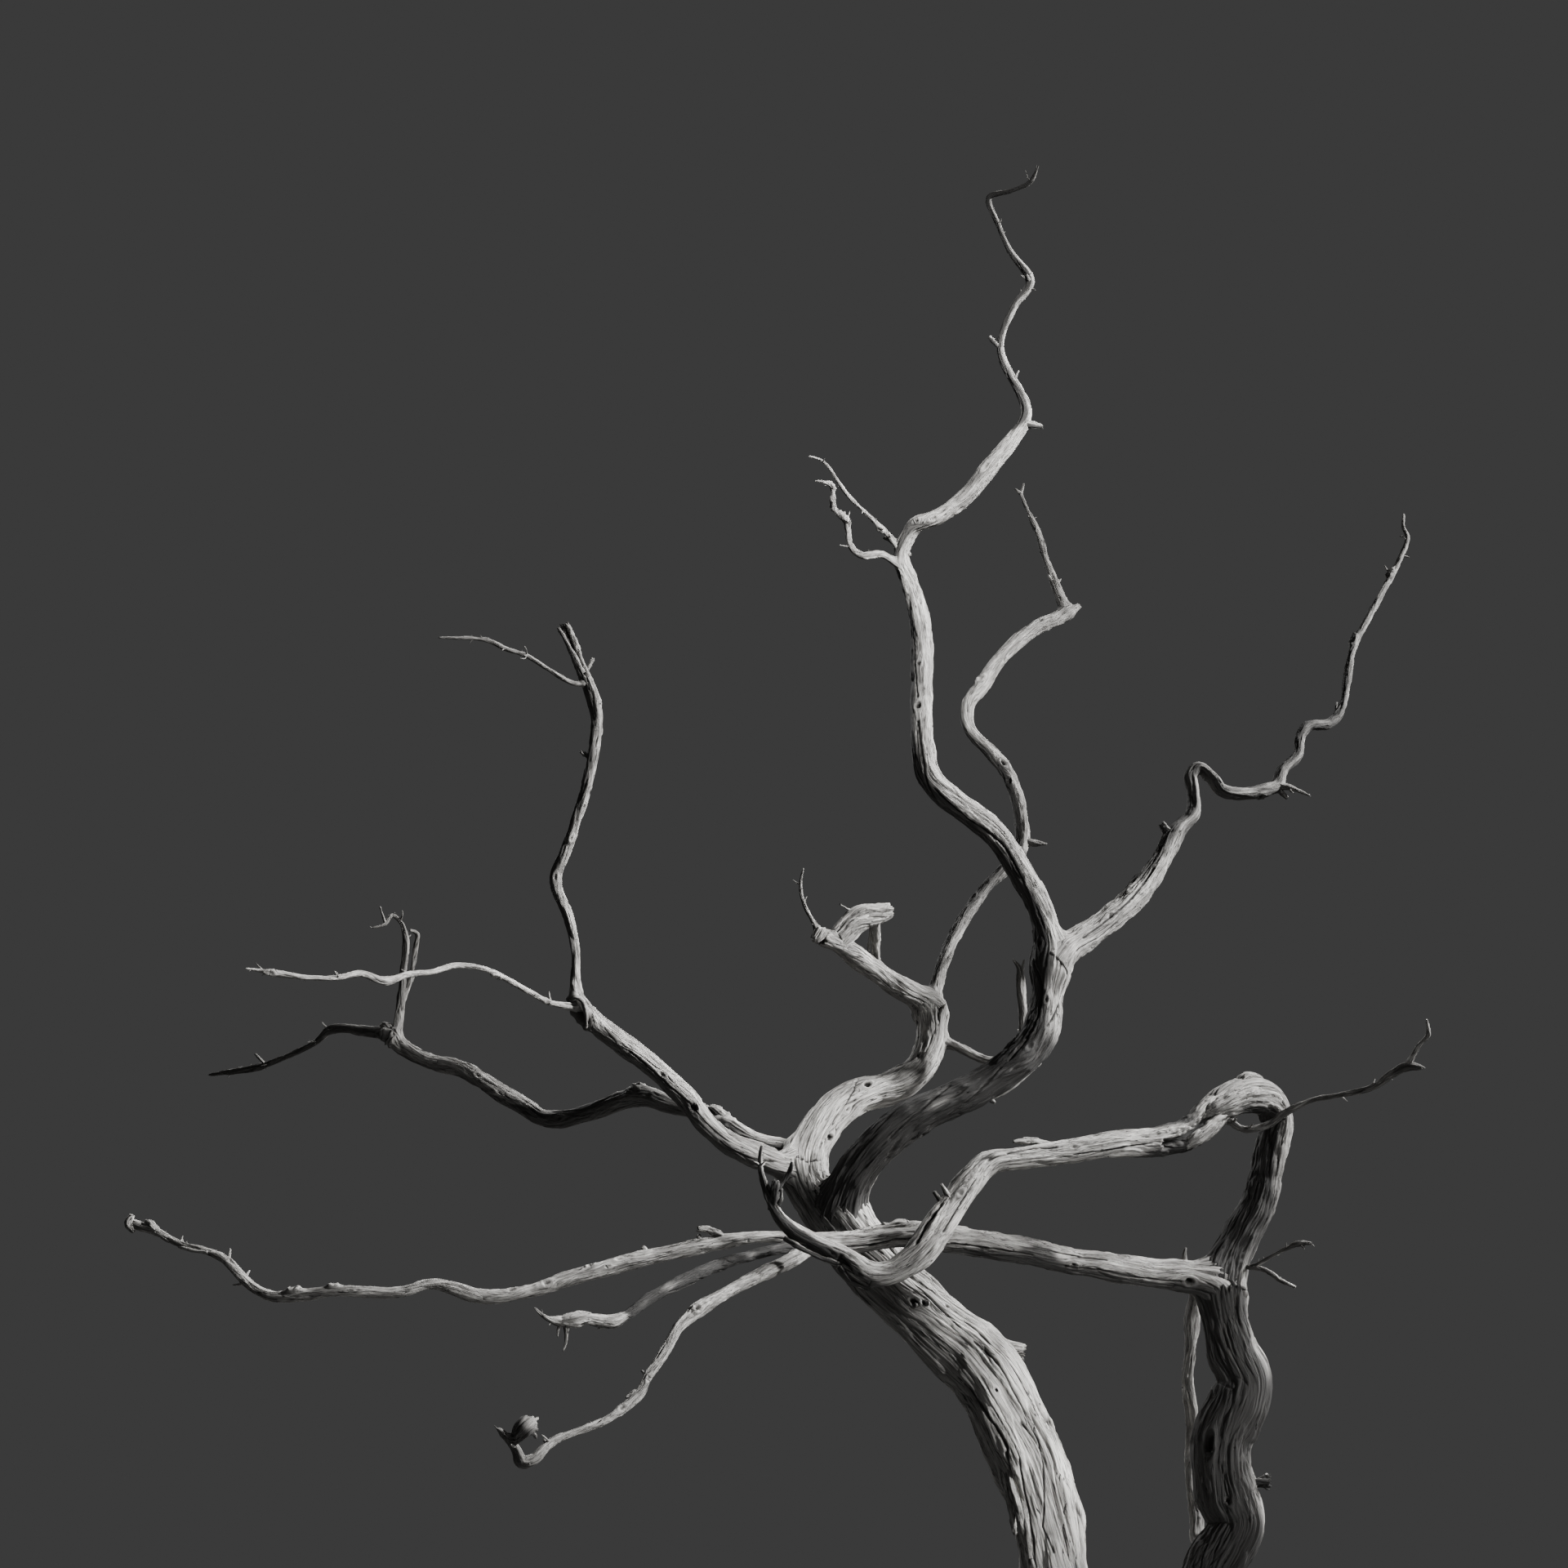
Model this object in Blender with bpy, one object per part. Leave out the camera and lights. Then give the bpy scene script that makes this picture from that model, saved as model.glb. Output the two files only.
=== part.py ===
"""A bare, weathered dead tree: two stems from one foot, twisted boughs and dry twig ends.

Metres, +Z up. The origin is the middle of the flat cut at ground level, and the front is -Y.

Every limb is one tapering tube along a smooth curve through its bends. A bend is written as it is
seen from one fixed viewpoint in front of the tree: steps across and up on a plane of sight through
the trunk, metres away (+) behind or (-) in front of the trunk, and the limb's thickness in steps.
Long limbs are cut into spans at their strong bends, and neighbours stay a hair's breadth apart.
"""
import math
import random
from itertools import accumulate

import bpy
import numpy as np

# Sizes in metres
GAP = 0.0003                 # clear width between pieces that touch
GROW = 0.0005                # how much fatter the copy of a limb is that cuts its neighbour's root
THINNEST = 0.004             # smallest radius of a twig's tip
RING_SPACING = 0.17          # distance between rings along a limb
RING_STRETCH = 1.6           # the same on a thick limb, in its radii
SPUR_LENGTH = (0.025, 0.055)
SPUR_LEAN = (0.3, 0.9)       # how far a spur leans towards its twig's tip
SPUR_THICKNESS = 0.45        # share of its twig's thickness
SHARP_ANGLE = math.radians(50)

# Sides of a tube by its largest radius
SIDES = ((0.15, 15), (0.09, 10), (0.035, 8), (0.0, 6))
SPUR_SIDES = 5

# The viewpoint that the bends are seen from
SIGHT_RANGE = 12.8           # distance from the eye to the plane of sight
STEP = 0.004                 # one step on that plane
EYE = (-1.32, -12.03, 1.0)   # x, y, z of the eye
TILT = math.radians(20)      # how far the line of sight points up
MIDDLE = (-330, 960)         # where that line meets the plane, in steps

# The feet of the two stems, below the lowest bend that the tables give: x, y, z, radius
TRUNK_FOOT = [
    (0.0, 0.0, 0.0, 0.300),
    (0.0, 0.0, 0.10, 0.248),
    (0.0, 0.0, 0.30, 0.214),
    (-0.005, 0.0, 0.65, 0.200),
    (-0.04, 0.0, 1.10, 0.178),
]
STEM_FOOT = [
    (0.0, 0.0, 0.45, 0.138),
    (0.13, -0.01, 0.72, 0.142),
    (0.28, -0.02, 1.03, 0.132),
    (0.43, -0.035, 1.37, 0.124),
]
ROOT_LOBES = 5
ROOT_LOBE_DEPTH = 0.20       # share of the radius at the ground
ROOT_LOBE_HEIGHT = 0.26
ROOT_LOBE_TURN = 0.6         # radians round the trunk

# Each limb's spans and their bends: steps across, steps up, metres away, steps thick.
# A span starts at the last bend of the span before it.
TRUNK = {
    "trunk_lower": [(2, 0, 0.0, 85), (-7, 50, 0.0, 87), (-38, 150, 0.02, 92)],
    "trunk_upper": [(-75, 230, 0.03, 92), (-141, 294, 0.05, 84), (-192, 343, 0.06, 80),
                    (-242, 395, 0.08, 76), (-266, 423, 0.09, 70)],
    "trunk_neck": [(-287, 447, 0.1, 60), (-302, 472, 0.12, 54), (-302, 500, 0.15, 50)],
    "bough_pale_1": [(-275, 548, 0.2, 44), (-240, 577, 0.28, 41), (-190, 593, 0.38, 39)],
    "bough_pale_2": [(-164, 612, 0.42, 38), (-151, 640, 0.46, 38), (-149, 668, 0.5, 37),
                     (-150, 694, 0.52, 32)],
}
STEM = {
    "stem_lower": [(193, 0, -0.05, 66), (213, 32, -0.08, 64), (224, 58, -0.1, 63)],
    "stem_upper": [(211, 90, -0.12, 72), (204, 125, -0.15, 66), (208, 165, -0.18, 68),
                   (229, 207, -0.22, 68), (234, 232, -0.24, 64), (220, 265, -0.26, 60),
                   (210, 305, -0.28, 53), (204, 335, -0.3, 50), (203, 352, -0.3, 46)],
}
TALL_BOUGH = {
    "bough_tall_1": [(-262, 425, 0.05, 50), (-245, 480, -0.05, 46), (-188, 541, -0.12, 46),
                     (-90, 588, -0.1, 42)],
    "bough_tall_2": [(-48, 617, -0.08, 44), (-19, 652, -0.06, 42), (-8, 697, -0.04, 38),
                     (-5, 757, -0.04, 36), (-14, 800, -0.05, 32)],
    "bough_tall_3": [(-36, 845, -0.08, 33), (-70, 896, -0.12, 30), (-150, 965, -0.2, 30),
                     (-160, 1005, -0.2, 27)],
    "bough_tall_4": [(-161, 1060, -0.12, 27), (-162, 1155, 0.02, 26), (-177, 1208, 0.05, 23),
                     (-186, 1240, 0.0, 20)],
    "bough_tall_5": [(-172, 1273, -0.08, 20), (-138, 1289, -0.16, 20), (-105, 1315, -0.24, 20),
                     (-75, 1352, -0.32, 22), (-50, 1382, -0.38, 18)],
    "twigs_top": [(-33, 1414, -0.42, 14), (-65, 1492, -0.4, 9), (-50, 1542, -0.42, 9),
                  (-29, 1575, -0.45, 11), (-55, 1615, -0.5, 7), (-68, 1645, -0.52, 6),
                  (-79, 1678, -0.55, 7), (-50, 1687, -0.6, 5), (-28, 1698, -0.62, 5),
                  (-19, 1717, -0.64, 2)],
}
TALL_TWIG_HIGH = {
    "twigs_tall_high": [(-186, 1243, 0.0, 10), (-199, 1261, -0.05, 8), (-230, 1292, -0.16, 5),
                        (-253, 1315, -0.24, 5), (-282, 1355, -0.34, 3), (-300, 1361, -0.4, 2)],
}
TALL_TWIG_LOW = {
    "twigs_tall_low": [(-181, 1222, 0.03, 10), (-210, 1241, -0.07, 9), (-235, 1240, -0.14, 8),
                       (-248, 1251, -0.2, 7), (-254, 1280, -0.28, 7), (-268, 1298, -0.34, 6),
                       (-272, 1325, -0.4, 5), (-292, 1331, -0.48, 2)],
}
RIGHT_BOUGH = {
    "bough_right_1": [(-3, 735, -0.04, 38), (20, 760, 0.02, 36), (55, 783, 0.12, 30),
                      (95, 817, 0.24, 31), (122, 852, 0.34, 29), (150, 902, 0.45, 22)],
    "bough_right_2": [(170, 925, 0.5, 18), (171, 950, 0.52, 16), (168, 970, 0.53, 17),
                      (178, 980, 0.54, 15), (193, 968, 0.57, 15)],
    "bough_right_3": [(208, 951, 0.61, 16), (272, 957, 0.8, 16)],
    "bough_right_4": [(281, 977, 0.84, 12), (299, 995, 0.9, 12), (302, 1018, 0.94, 12),
                      (312, 1031, 0.98, 13), (337, 1034, 1.05, 13)],
    "bough_right_5": [(352, 1051, 1.1, 10), (366, 1125, 1.2, 9)],
    "twigs_right_tip": [(385, 1163, 1.28, 8), (426, 1240, 1.4, 7), (433, 1262, 1.42, 5),
                        (428, 1276, 1.43, 4), (429, 1291, 1.44, 3)],
}
RIGHT_TWIG = {
    "twigs_right_low": [(272, 956, 0.8, 9), (288, 956, 0.79, 7), (315, 945, 0.82, 2)],
}
HOOKED_BOUGH = {
    "bough_hooked": [(-150, 680, 0.5, 34), (-163, 697, 0.47, 30), (-190, 712, 0.36, 28),
                     (-230, 740, 0.15, 26), (-262, 763, -0.03, 24), (-288, 774, -0.18, 21)],
}
HOOKED_TWIG = {
    "twigs_hooked": [(-286, 777, -0.17, 14), (-291, 786, -0.19, 7), (-305, 812, -0.25, 5),
                     (-310, 837, -0.3, 4), (-306, 857, -0.35, 2)],
}
INNER_BOUGH = {
    "bough_inner_1": [(-150, 684, 0.52, 22), (-144, 712, 0.58, 18), (-132, 750, 0.68, 16),
                      (-110, 795, 0.8, 15), (-80, 835, 0.88, 14), (-55, 860, 0.92, 15)],
    "bough_inner_2": [(-39, 885, 0.95, 17), (-51, 962, 1.05, 18), (-72, 994, 1.08, 17),
                      (-102, 1026, 1.1, 15)],
    "bough_inner_3": [(-105, 1056, 1.15, 16), (-88, 1080, 1.2, 19), (-62, 1117, 1.28, 18),
                      (-25, 1148, 1.35, 17), (12, 1167, 1.42, 17), (32, 1179, 1.45, 6)],
}
INNER_TWIG = {
    "twigs_inner": [(16, 1168, 1.43, 15), (2, 1205, 1.45, 12), (-8, 1232, 1.5, 8),
                    (-20, 1270, 1.55, 8), (-32, 1295, 1.57, 5), (-41, 1318, 1.6, 4)],
}
CROTCH_TWIG = {
    "twigs_crotch": [(-146, 651, 0.48, 15), (-128, 643, 0.46, 13), (-75, 620, 0.4, 11),
                     (-48, 630, 0.37, 10), (-38, 655, 0.35, 10), (-40, 715, 0.33, 10),
                     (-42, 735, 0.32, 6), (-50, 745, 0.3, 2)],
}
LEFT_BOUGH = {
    "bough_left_1": [(-300, 486, 0.1, 38), (-325, 492, 0.03, 36), (-345, 496, -0.02, 32),
                     (-400, 521, -0.1, 27), (-427, 545, -0.14, 26), (-450, 576, -0.16, 25),
                     (-505, 626, -0.22, 24), (-565, 672, -0.28, 26)],
    "bough_left_2": [(-580, 690, -0.3, 24), (-585, 715, -0.32, 13), (-585, 755, -0.34, 12),
                     (-594, 796, -0.36, 14), (-608, 832, -0.4, 15)],
    "bough_left_3": [(-609, 850, -0.42, 14), (-597, 880, -0.46, 14), (-571, 960, -0.54, 13),
                     (-563, 1000, -0.58, 14), (-559, 1040, -0.6, 14), (-563, 1065, -0.62, 17),
                     (-580, 1104, -0.66, 12), (-590, 1132, -0.69, 13), (-600, 1158, -0.72, 11)],
}
LEFT_TWIG_HIGH = {
    "twigs_left_high": [(-571, 1084, -0.64, 8), (-590, 1084, -0.67, 6), (-645, 1117, -0.77, 5),
                        (-672, 1126, -0.82, 6), (-693, 1136, -0.86, 5), (-753, 1139, -0.97, 3)],
}
LEFT_TWIG_LONG = {
    "twigs_left_long": [(-576, 686, -0.3, 10), (-615, 692, -0.42, 7), (-650, 710, -0.52, 7),
                        (-695, 733, -0.64, 7), (-730, 738, -0.72, 7), (-760, 730, -0.8, 7),
                        (-790, 727, -0.87, 8), (-820, 719, -0.94, 10), (-848, 728, -1.0, 8),
                        (-875, 723, -1.06, 6), (-915, 723, -1.14, 6), (-955, 729, -1.2, 9),
                        (-968, 731, -1.22, 5), (-990, 734, -1.26, 2)],
}
FAR_BOUGH = {
    "bough_far_1": [(-301, 506, 0.15, 26), (-330, 515, 0.2, 23), (-365, 524, 0.26, 19),
                    (-400, 543, 0.34, 20), (-430, 556, 0.4, 17), (-465, 566, 0.46, 21),
                    (-502, 577, 0.54, 25)],
    "bough_far_2": [(-580, 554, 0.78, 20), (-618, 549, 0.9, 21)],
    "bough_far_3": [(-650, 566, 1.0, 21), (-690, 590, 1.1, 21), (-725, 611, 1.2, 20),
                    (-760, 619, 1.28, 19), (-797, 638, 1.35, 20)],
    "twigs_far_end": [(-812, 652, 1.39, 17), (-832, 656, 1.44, 13), (-886, 659, 1.58, 10),
                      (-902, 645, 1.62, 7), (-960, 618, 1.76, 7), (-985, 611, 1.82, 9),
                      (-1035, 604, 1.94, 3)],
}
FAR_TWIG = {
    "twigs_far_up": [(-805, 646, 1.37, 14), (-799, 692, 1.4, 10), (-796, 730, 1.36, 8),
                     (-793, 770, 1.3, 8), (-800, 792, 1.26, 5), (-810, 799, 1.24, 5),
                     (-819, 788, 1.22, 4), (-835, 784, 1.2, 2)],
}
BEAM = {
    "beam": [(204, 338, -0.3, 44), (190, 352, -0.33, 42), (165, 357, -0.36, 37),
             (110, 362, -0.42, 35), (10, 378, -0.54, 31), (-40, 389, -0.6, 33),
             (-140, 404, -0.72, 31), (-180, 409, -0.77, 32), (-245, 399, -0.85, 29),
             (-310, 397, -0.94, 26)],
}
FRONT_BOUGH = {
    "bough_front_1": [(-296, 399, -0.92, 16), (-340, 406, -0.98, 14), (-390, 402, -1.04, 16),
                      (-450, 390, -1.1, 18), (-530, 372, -1.18, 20), (-590, 356, -1.24, 19),
                      (-650, 337, -1.3, 16)],
    "bough_front_2": [(-700, 332, -1.34, 17), (-760, 348, -1.38, 13), (-800, 338, -1.4, 13),
                      (-880, 339, -1.42, 13), (-920, 334, -1.4, 15), (-960, 334, -1.38, 13)],
    "twigs_front_end": [(-990, 352, -1.35, 11), (-1012, 376, -1.32, 12), (-1040, 389, -1.28, 8),
                        (-1070, 397, -1.24, 8), (-1100, 412, -1.2, 10), (-1130, 421, -1.15, 13)],
}
LOW_BOUGH = {
    "bough_low_1": [(-298, 396, -0.93, 14), (-345, 389, -1.03, 13), (-385, 379, -1.13, 14),
                    (-420, 367, -1.22, 16), (-495, 330, -1.42, 15), (-525, 308, -1.5, 13)],
    "twigs_low_end": [(-541, 302, -1.55, 16), (-575, 305, -1.65, 13), (-602, 302, -1.72, 14),
                      (-620, 306, -1.78, 6), (-636, 319, -1.84, 3)],
}
DROOPING_BOUGH = {
    "bough_droop_1": [(-296, 392, -0.93, 16), (-325, 375, -1.04, 16), (-365, 356, -1.16, 17),
                      (-405, 335, -1.3, 15), (-441, 313, -1.42, 17), (-460, 295, -1.5, 13)],
    "bough_droop_2": [(-475, 268, -1.58, 14), (-498, 232, -1.69, 13), (-508, 213, -1.74, 13),
                      (-527, 196, -1.8, 11)],
    "twigs_droop_end": [(-552, 179, -1.88, 9), (-615, 154, -2.04, 10), (-638, 133, -2.1, 14),
                        (-651, 131, -2.12, 15), (-658, 145, -2.14, 10), (-672, 163, -2.17, 8),
                        (-682, 171, -2.2, 3)],
}
ARCH = {
    "arch_1": [(206, 346, -0.3, 48), (214, 374, -0.29, 48), (228, 402, -0.28, 46),
               (248, 440, -0.26, 43), (269, 518, -0.22, 39), (274, 548, -0.21, 39)],
    "arch_2": [(264, 573, -0.24, 40), (243, 582, -0.29, 42), (218, 575, -0.35, 42),
               (165, 532, -0.5, 38), (125, 522, -0.58, 33)],
    "arch_3": [(70, 519, -0.7, 31), (10, 509, -0.78, 29), (-45, 502, -0.86, 26),
               (-78, 496, -0.9, 29), (-100, 474, -0.93, 33), (-125, 442, -0.96, 36)],
    "arch_4": [(-145, 412, -1.0, 40), (-168, 382, -1.04, 36), (-200, 362, -1.06, 28),
               (-228, 361, -1.08, 28)],
    "arch_5": [(-250, 378, -1.1, 24), (-310, 407, -1.14, 21), (-338, 434, -1.17, 14)],
    "twigs_arch_tip": [(-359, 492, -1.22, 6), (-357, 518, -1.24, 3)],
}
ARCH_TWIG = {
    "twigs_arch_right": [(207, 564, -0.4, 14), (219, 545, -0.44, 10), (235, 537, -0.46, 9),
                         (262, 543, -0.48, 8), (285, 558, -0.51, 8), (315, 572, -0.55, 6),
                         (350, 579, -0.61, 6), (390, 588, -0.68, 8), (415, 605, -0.74, 10),
                         (436, 614, -0.8, 11), (455, 612, -0.83, 6)],
}
HIND_LIMB = {
    "limb_behind": [(192, 18, -0.03, 17), (176, 36, 0.05, 17), (175, 60, 0.08, 17),
                    (168, 95, 0.08, 11), (166, 140, 0.06, 10), (170, 182, 0.04, 16),
                    (165, 228, 0.0, 14), (168, 272, -0.02, 14), (171, 312, -0.05, 18),
                    (172, 335, -0.08, 10), (160, 378, -0.12, 7), (162, 393, -0.13, 2)],
}
STEM_TWIG = {
    "twigs_stem": [(216, 368, -0.3, 8), (240, 369, -0.36, 5), (285, 391, -0.48, 5),
                   (302, 397, -0.53, 8), (316, 397, -0.56, 3)],
}

# Stubs, torn slabs and side twigs that grow out of a span, as bends again
SHOOTS = {
    "stem_upper": [[(215, 100, -0.15, 14), (254, 106, -0.16, 9), (266, 104, -0.16, 8)]],
    "bough_hooked": [
        [(-268, 764, -0.06, 22), (-252, 783, -0.04, 29), (-232, 796, -0.02, 26),
         (-212, 801, 0.0, 23), (-197, 805, 0.02, 15)],
        [(-216, 736, 0.2, 8), (-217, 762, 0.1, 9), (-218, 790, 0.0, 8)]],
    "bough_inner_2": [[(-40, 889, 0.95, 11), (-25, 887, 0.96, 8), (-8, 886, 0.98, 2)]],
    "twigs_inner": [[(-40, 1315, 1.6, 4), (-47, 1322, 1.58, 2)],
                    [(-40, 1314, 1.6, 4), (-36, 1328, 1.62, 2)]],
    "twigs_crotch": [[(-41, 725, 0.33, 6), (-36, 745, 0.34, 2)]],
    "twigs_top": [[(-35, 1401, -0.41, 10), (-12, 1397, -0.42, 5)],
                  [(-66, 1493, -0.4, 7), (-80, 1508, -0.41, 5)],
                  [(-30, 1566, -0.44, 4), (-22, 1565, -0.45, 2)]],
    "bough_right_1": [[(142, 896, 0.42, 12), (131, 912, 0.41, 6)]],
    "twigs_right_low": [[(274, 954, 0.8, 8), (287, 942, 0.8, 4)]],
    "bough_left_3": [[(-573, 1098, -0.65, 6), (-563, 1114, -0.64, 4)],
                     [(-568, 993, -0.57, 6), (-577, 999, -0.57, 3)]],
    "twigs_far_end": [[(-965, 616, 1.77, 4), (-978, 630, 1.76, 2)]],
    "twigs_far_up": [[(-800, 684, 1.4, 7), (-789, 715, 1.44, 6), (-782, 755, 1.45, 6),
                      (-779, 777, 1.43, 5), (-789, 781, 1.4, 3)],
                     [(-818, 790, 1.22, 3), (-825, 810, 1.22, 2)]],
    "beam": [[(-195, 410, -0.8, 24), (-212, 418, -0.82, 12)]],
    "bough_front_1": [[(-405, 404, -1.05, 9), (-424, 414, -1.1, 8), (-437, 415, -1.12, 6)]],
    "twigs_low_end": [[(-597, 298, -1.71, 7), (-597, 280, -1.7, 4), (-601, 265, -1.7, 2)]],
    "twigs_droop_end": [[(-663, 155, -2.15, 8), (-645, 172, -2.1, 12), (-635, 175, -2.08, 8)]],
    "twigs_arch_tip": [[(-343, 447, -1.18, 8), (-333, 461, -1.16, 4)]],
    "twigs_arch_right": [[(434, 615, -0.8, 7), (447, 640, -0.85, 5), (458, 653, -0.88, 5),
                          (457, 673, -0.92, 2)]],
    "twigs_stem": [[(238, 369, -0.36, 5), (258, 366, -0.4, 5), (275, 354, -0.44, 5),
                    (297, 343, -0.48, 3)]],
}

# Short spurs that the seeded rule grows on each twig mass
SPURS = {
    "twigs_hooked": 2, "twigs_inner": 4, "twigs_crotch": 2, "twigs_top": 5,
    "twigs_tall_high": 3, "twigs_tall_low": 3, "twigs_right_tip": 3, "twigs_right_low": 1,
    "twigs_left_high": 4, "twigs_left_long": 7, "twigs_far_end": 4, "twigs_far_up": 3,
    "twigs_front_end": 4, "twigs_low_end": 2, "twigs_droop_end": 3, "twigs_arch_tip": 3,
    "twigs_arch_right": 4, "twigs_stem": 2,
}

# Finishes: colour, roughness, metallic
BARE_WOOD = ((0.56, 0.55, 0.53), 0.85, 0.0)
TWIG_WOOD = ((0.60, 0.59, 0.57), 0.88, 0.0)


def sighted(across, up, away, thick):
    """World x, y, z and radius of a bend that the tables give."""
    slope = STEP / SIGHT_RANGE
    u = (across - MIDDLE[0]) * slope
    v = (up - MIDDLE[1]) * slope
    reach = (away - EYE[1]) / (math.cos(TILT) - v * math.sin(TILT))
    x = EYE[0] + u * reach
    z = EYE[2] + reach * (math.sin(TILT) + v * math.cos(TILT))
    return (x, away, z, max(THINNEST, 0.5 * thick * slope * reach))


def blend(near, share):
    """Point on the centripetal curve between the two middle ones of four knots."""
    times = [0.0]
    for a, b in zip(near, near[1:]):
        times.append(times[-1] + max(1e-6, np.linalg.norm(b[:3] - a[:3])) ** 0.5)
    t = times[1] + (times[2] - times[1]) * share
    layer = list(near)
    for level in (1, 2):
        layer = [
            (layer[j] * (times[j + level] - t) + layer[j + 1] * (t - times[j]))
            / (times[j + level] - times[j])
            for j in range(len(layer) - 1)
        ]
    return (layer[0] * (times[2] - t) + layer[1] * (t - times[1])) / (times[2] - times[1])


class Path:
    """A row of samples along a limb, each with a radius and the two axes of its ring."""

    def __init__(self, points, radii, sides):
        """Work out each sample's tangent and ring axes, without twist."""
        self.points = np.array(points)
        self.radii = np.array(radii)
        self.sides = sides
        ahead = np.diff(self.points, axis=0)
        ahead /= np.linalg.norm(ahead, axis=1)[:, None]
        tangents = np.vstack([ahead[:1], ahead[:-1] + ahead[1:], ahead[-1:]])
        tangents /= np.linalg.norm(tangents, axis=1)[:, None]
        side = np.cross(tangents[0], (0.0, 1.0, 0.0))
        if np.linalg.norm(side) < 0.3:
            side = np.cross(tangents[0], (1.0, 0.0, 0.0))
        normals = []
        for tangent in tangents:
            side = side - tangent * np.dot(side, tangent)
            side = side / np.linalg.norm(side)
            normals.append(side)
        self.tangents = tangents
        self.normals = np.array(normals)
        self.binormals = np.cross(tangents, self.normals)

    def outward(self, i, angle):
        """Unit vector out of the limb at a sample and an angle round it."""
        return self.normals[i] * math.cos(angle) + self.binormals[i] * math.sin(angle)


def curve(bends, foot=()):
    """The path through the foot's points and the sighted bends, and each knot's sample."""
    knots = np.array(list(foot) + [sighted(*bend) for bend in bends])
    samples = [knots[0]]
    marks = [0]
    for i in range(len(knots) - 1):
        near = [knots[max(i - 1, 0)], knots[i], knots[i + 1], knots[min(i + 2, len(knots) - 1)]]
        length = np.linalg.norm(knots[i + 1][:3] - knots[i][:3])
        count = max(1, round(length / max(RING_SPACING, knots[i][3] * RING_STRETCH)))
        samples += [blend(near, k / count) for k in range(1, count + 1)]
        marks.append(len(samples) - 1)
    samples = np.array(samples)
    widest = samples[:, 3].max()
    sides = next(sides for radius, sides in SIDES if widest >= radius)
    return Path(samples[:, :3], samples[:, 3], sides), marks


def lobe(height, angle):
    """Radius factor of the root flare's lobes at a height and an angle round the trunk."""
    fade = math.exp(-height / ROOT_LOBE_HEIGHT)
    return 1 + ROOT_LOBE_DEPTH * fade * math.cos(ROOT_LOBES * angle + ROOT_LOBE_TURN)


def tube(path, first, last, grow=0.0, lobed=False, trim=(False, False)):
    """Points and triangles of the tube between two samples of a path, closed by flat ends.

    A real span is shortened by half a gap at each trimmed end. A grown copy is fatter and longer.
    """
    points = []
    shift = -GROW if grow else GAP / 2
    for i in range(first, last + 1):
        centre = path.points[i].copy()
        if i == first and (trim[0] or grow):
            centre += path.tangents[i] * shift
        if i == last and (trim[1] or grow):
            centre -= path.tangents[i] * shift
        for k in range(path.sides):
            angle = 2 * math.pi * k / path.sides
            radius = path.radii[i] * (lobe(centre[2], angle) if lobed else 1)
            points.append(centre + path.outward(i, angle) * (radius + grow))
    n = path.sides
    end = (last - first) * n
    faces = []
    for start in range(0, end, n):
        for k in range(n):
            a = start + k
            b = start + (k + 1) % n
            faces.append((a, b, b + n))
            faces.append((a, b + n, a + n))
    for k in range(1, n - 1):
        faces.append((0, k + 1, k))
        faces.append((end, end + k, end + k + 1))
    return points, faces


def wood(name, finish):
    """A Principled material of one of the finishes."""
    colour, roughness, metallic = finish
    material = bpy.data.materials.new(name)
    material.use_nodes = True
    shader = material.node_tree.nodes["Principled BSDF"]
    shader.inputs["Base Color"].default_value = (*colour, 1.0)
    shader.inputs["Roughness"].default_value = roughness
    shader.inputs["Metallic"].default_value = metallic
    return material


def place(name, points, faces, root):
    """Make an object from points in the world, with its origin at its root."""
    mesh = bpy.data.meshes.new(name)
    mesh.from_pydata([tuple(point - root) for point in points], [], faces)
    mesh.update()
    thing = bpy.data.objects.new(name, mesh)
    thing.location = root
    bpy.context.scene.collection.objects.link(thing)
    return thing


def apply_boolean(thing, operation, others):
    """Join or cut an object with all the others by one Boolean, apply it and remove them."""
    if not others:
        return
    group = bpy.data.collections.new(thing.name + "_tools")
    bpy.context.scene.collection.children.link(group)
    for other in others:
        bpy.context.scene.collection.objects.unlink(other)
        group.objects.link(other)
        other.hide_render = True
        other.display_type = "WIRE"
    cut = thing.modifiers.new(operation.lower(), "BOOLEAN")
    cut.operation = operation
    cut.solver = "EXACT"
    cut.use_self = True
    cut.operand_type = "COLLECTION"
    cut.collection = group
    bpy.context.view_layer.update()
    graph = bpy.context.evaluated_depsgraph_get()
    result = bpy.data.meshes.new_from_object(thing.evaluated_get(graph))
    thing.modifiers.clear()
    thing.data = result
    for other in others:
        bpy.data.objects.remove(other)
    bpy.data.collections.remove(group)


def keep_largest(thing):
    """Drop the scraps that a cut leaves, so that one body stays."""
    mesh = thing.data
    group = list(range(len(mesh.vertices)))

    def top(i):
        while group[i] != i:
            group[i] = group[group[i]]
            i = group[i]
        return i

    for edge in mesh.edges:
        group[top(edge.vertices[0])] = top(edge.vertices[1])
    bodies = {}
    for vertex in mesh.vertices:
        bodies.setdefault(top(vertex.index), []).append(tuple(vertex.co))
    if len(bodies) == 1:
        return
    best = max(bodies, key=lambda key: np.linalg.norm(np.ptp(bodies[key], axis=0)))
    faces = [tuple(face.vertices) for face in mesh.polygons if top(face.vertices[0]) == best]
    used = sorted({i for face in faces for i in face})
    order = {old: new for new, old in enumerate(used)}
    kept = bpy.data.meshes.new(thing.name)
    kept.from_pydata(
        [tuple(mesh.vertices[i].co) for i in used], [],
        [tuple(order[i] for i in face) for face in faces])
    kept.update()
    thing.data = kept


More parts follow.
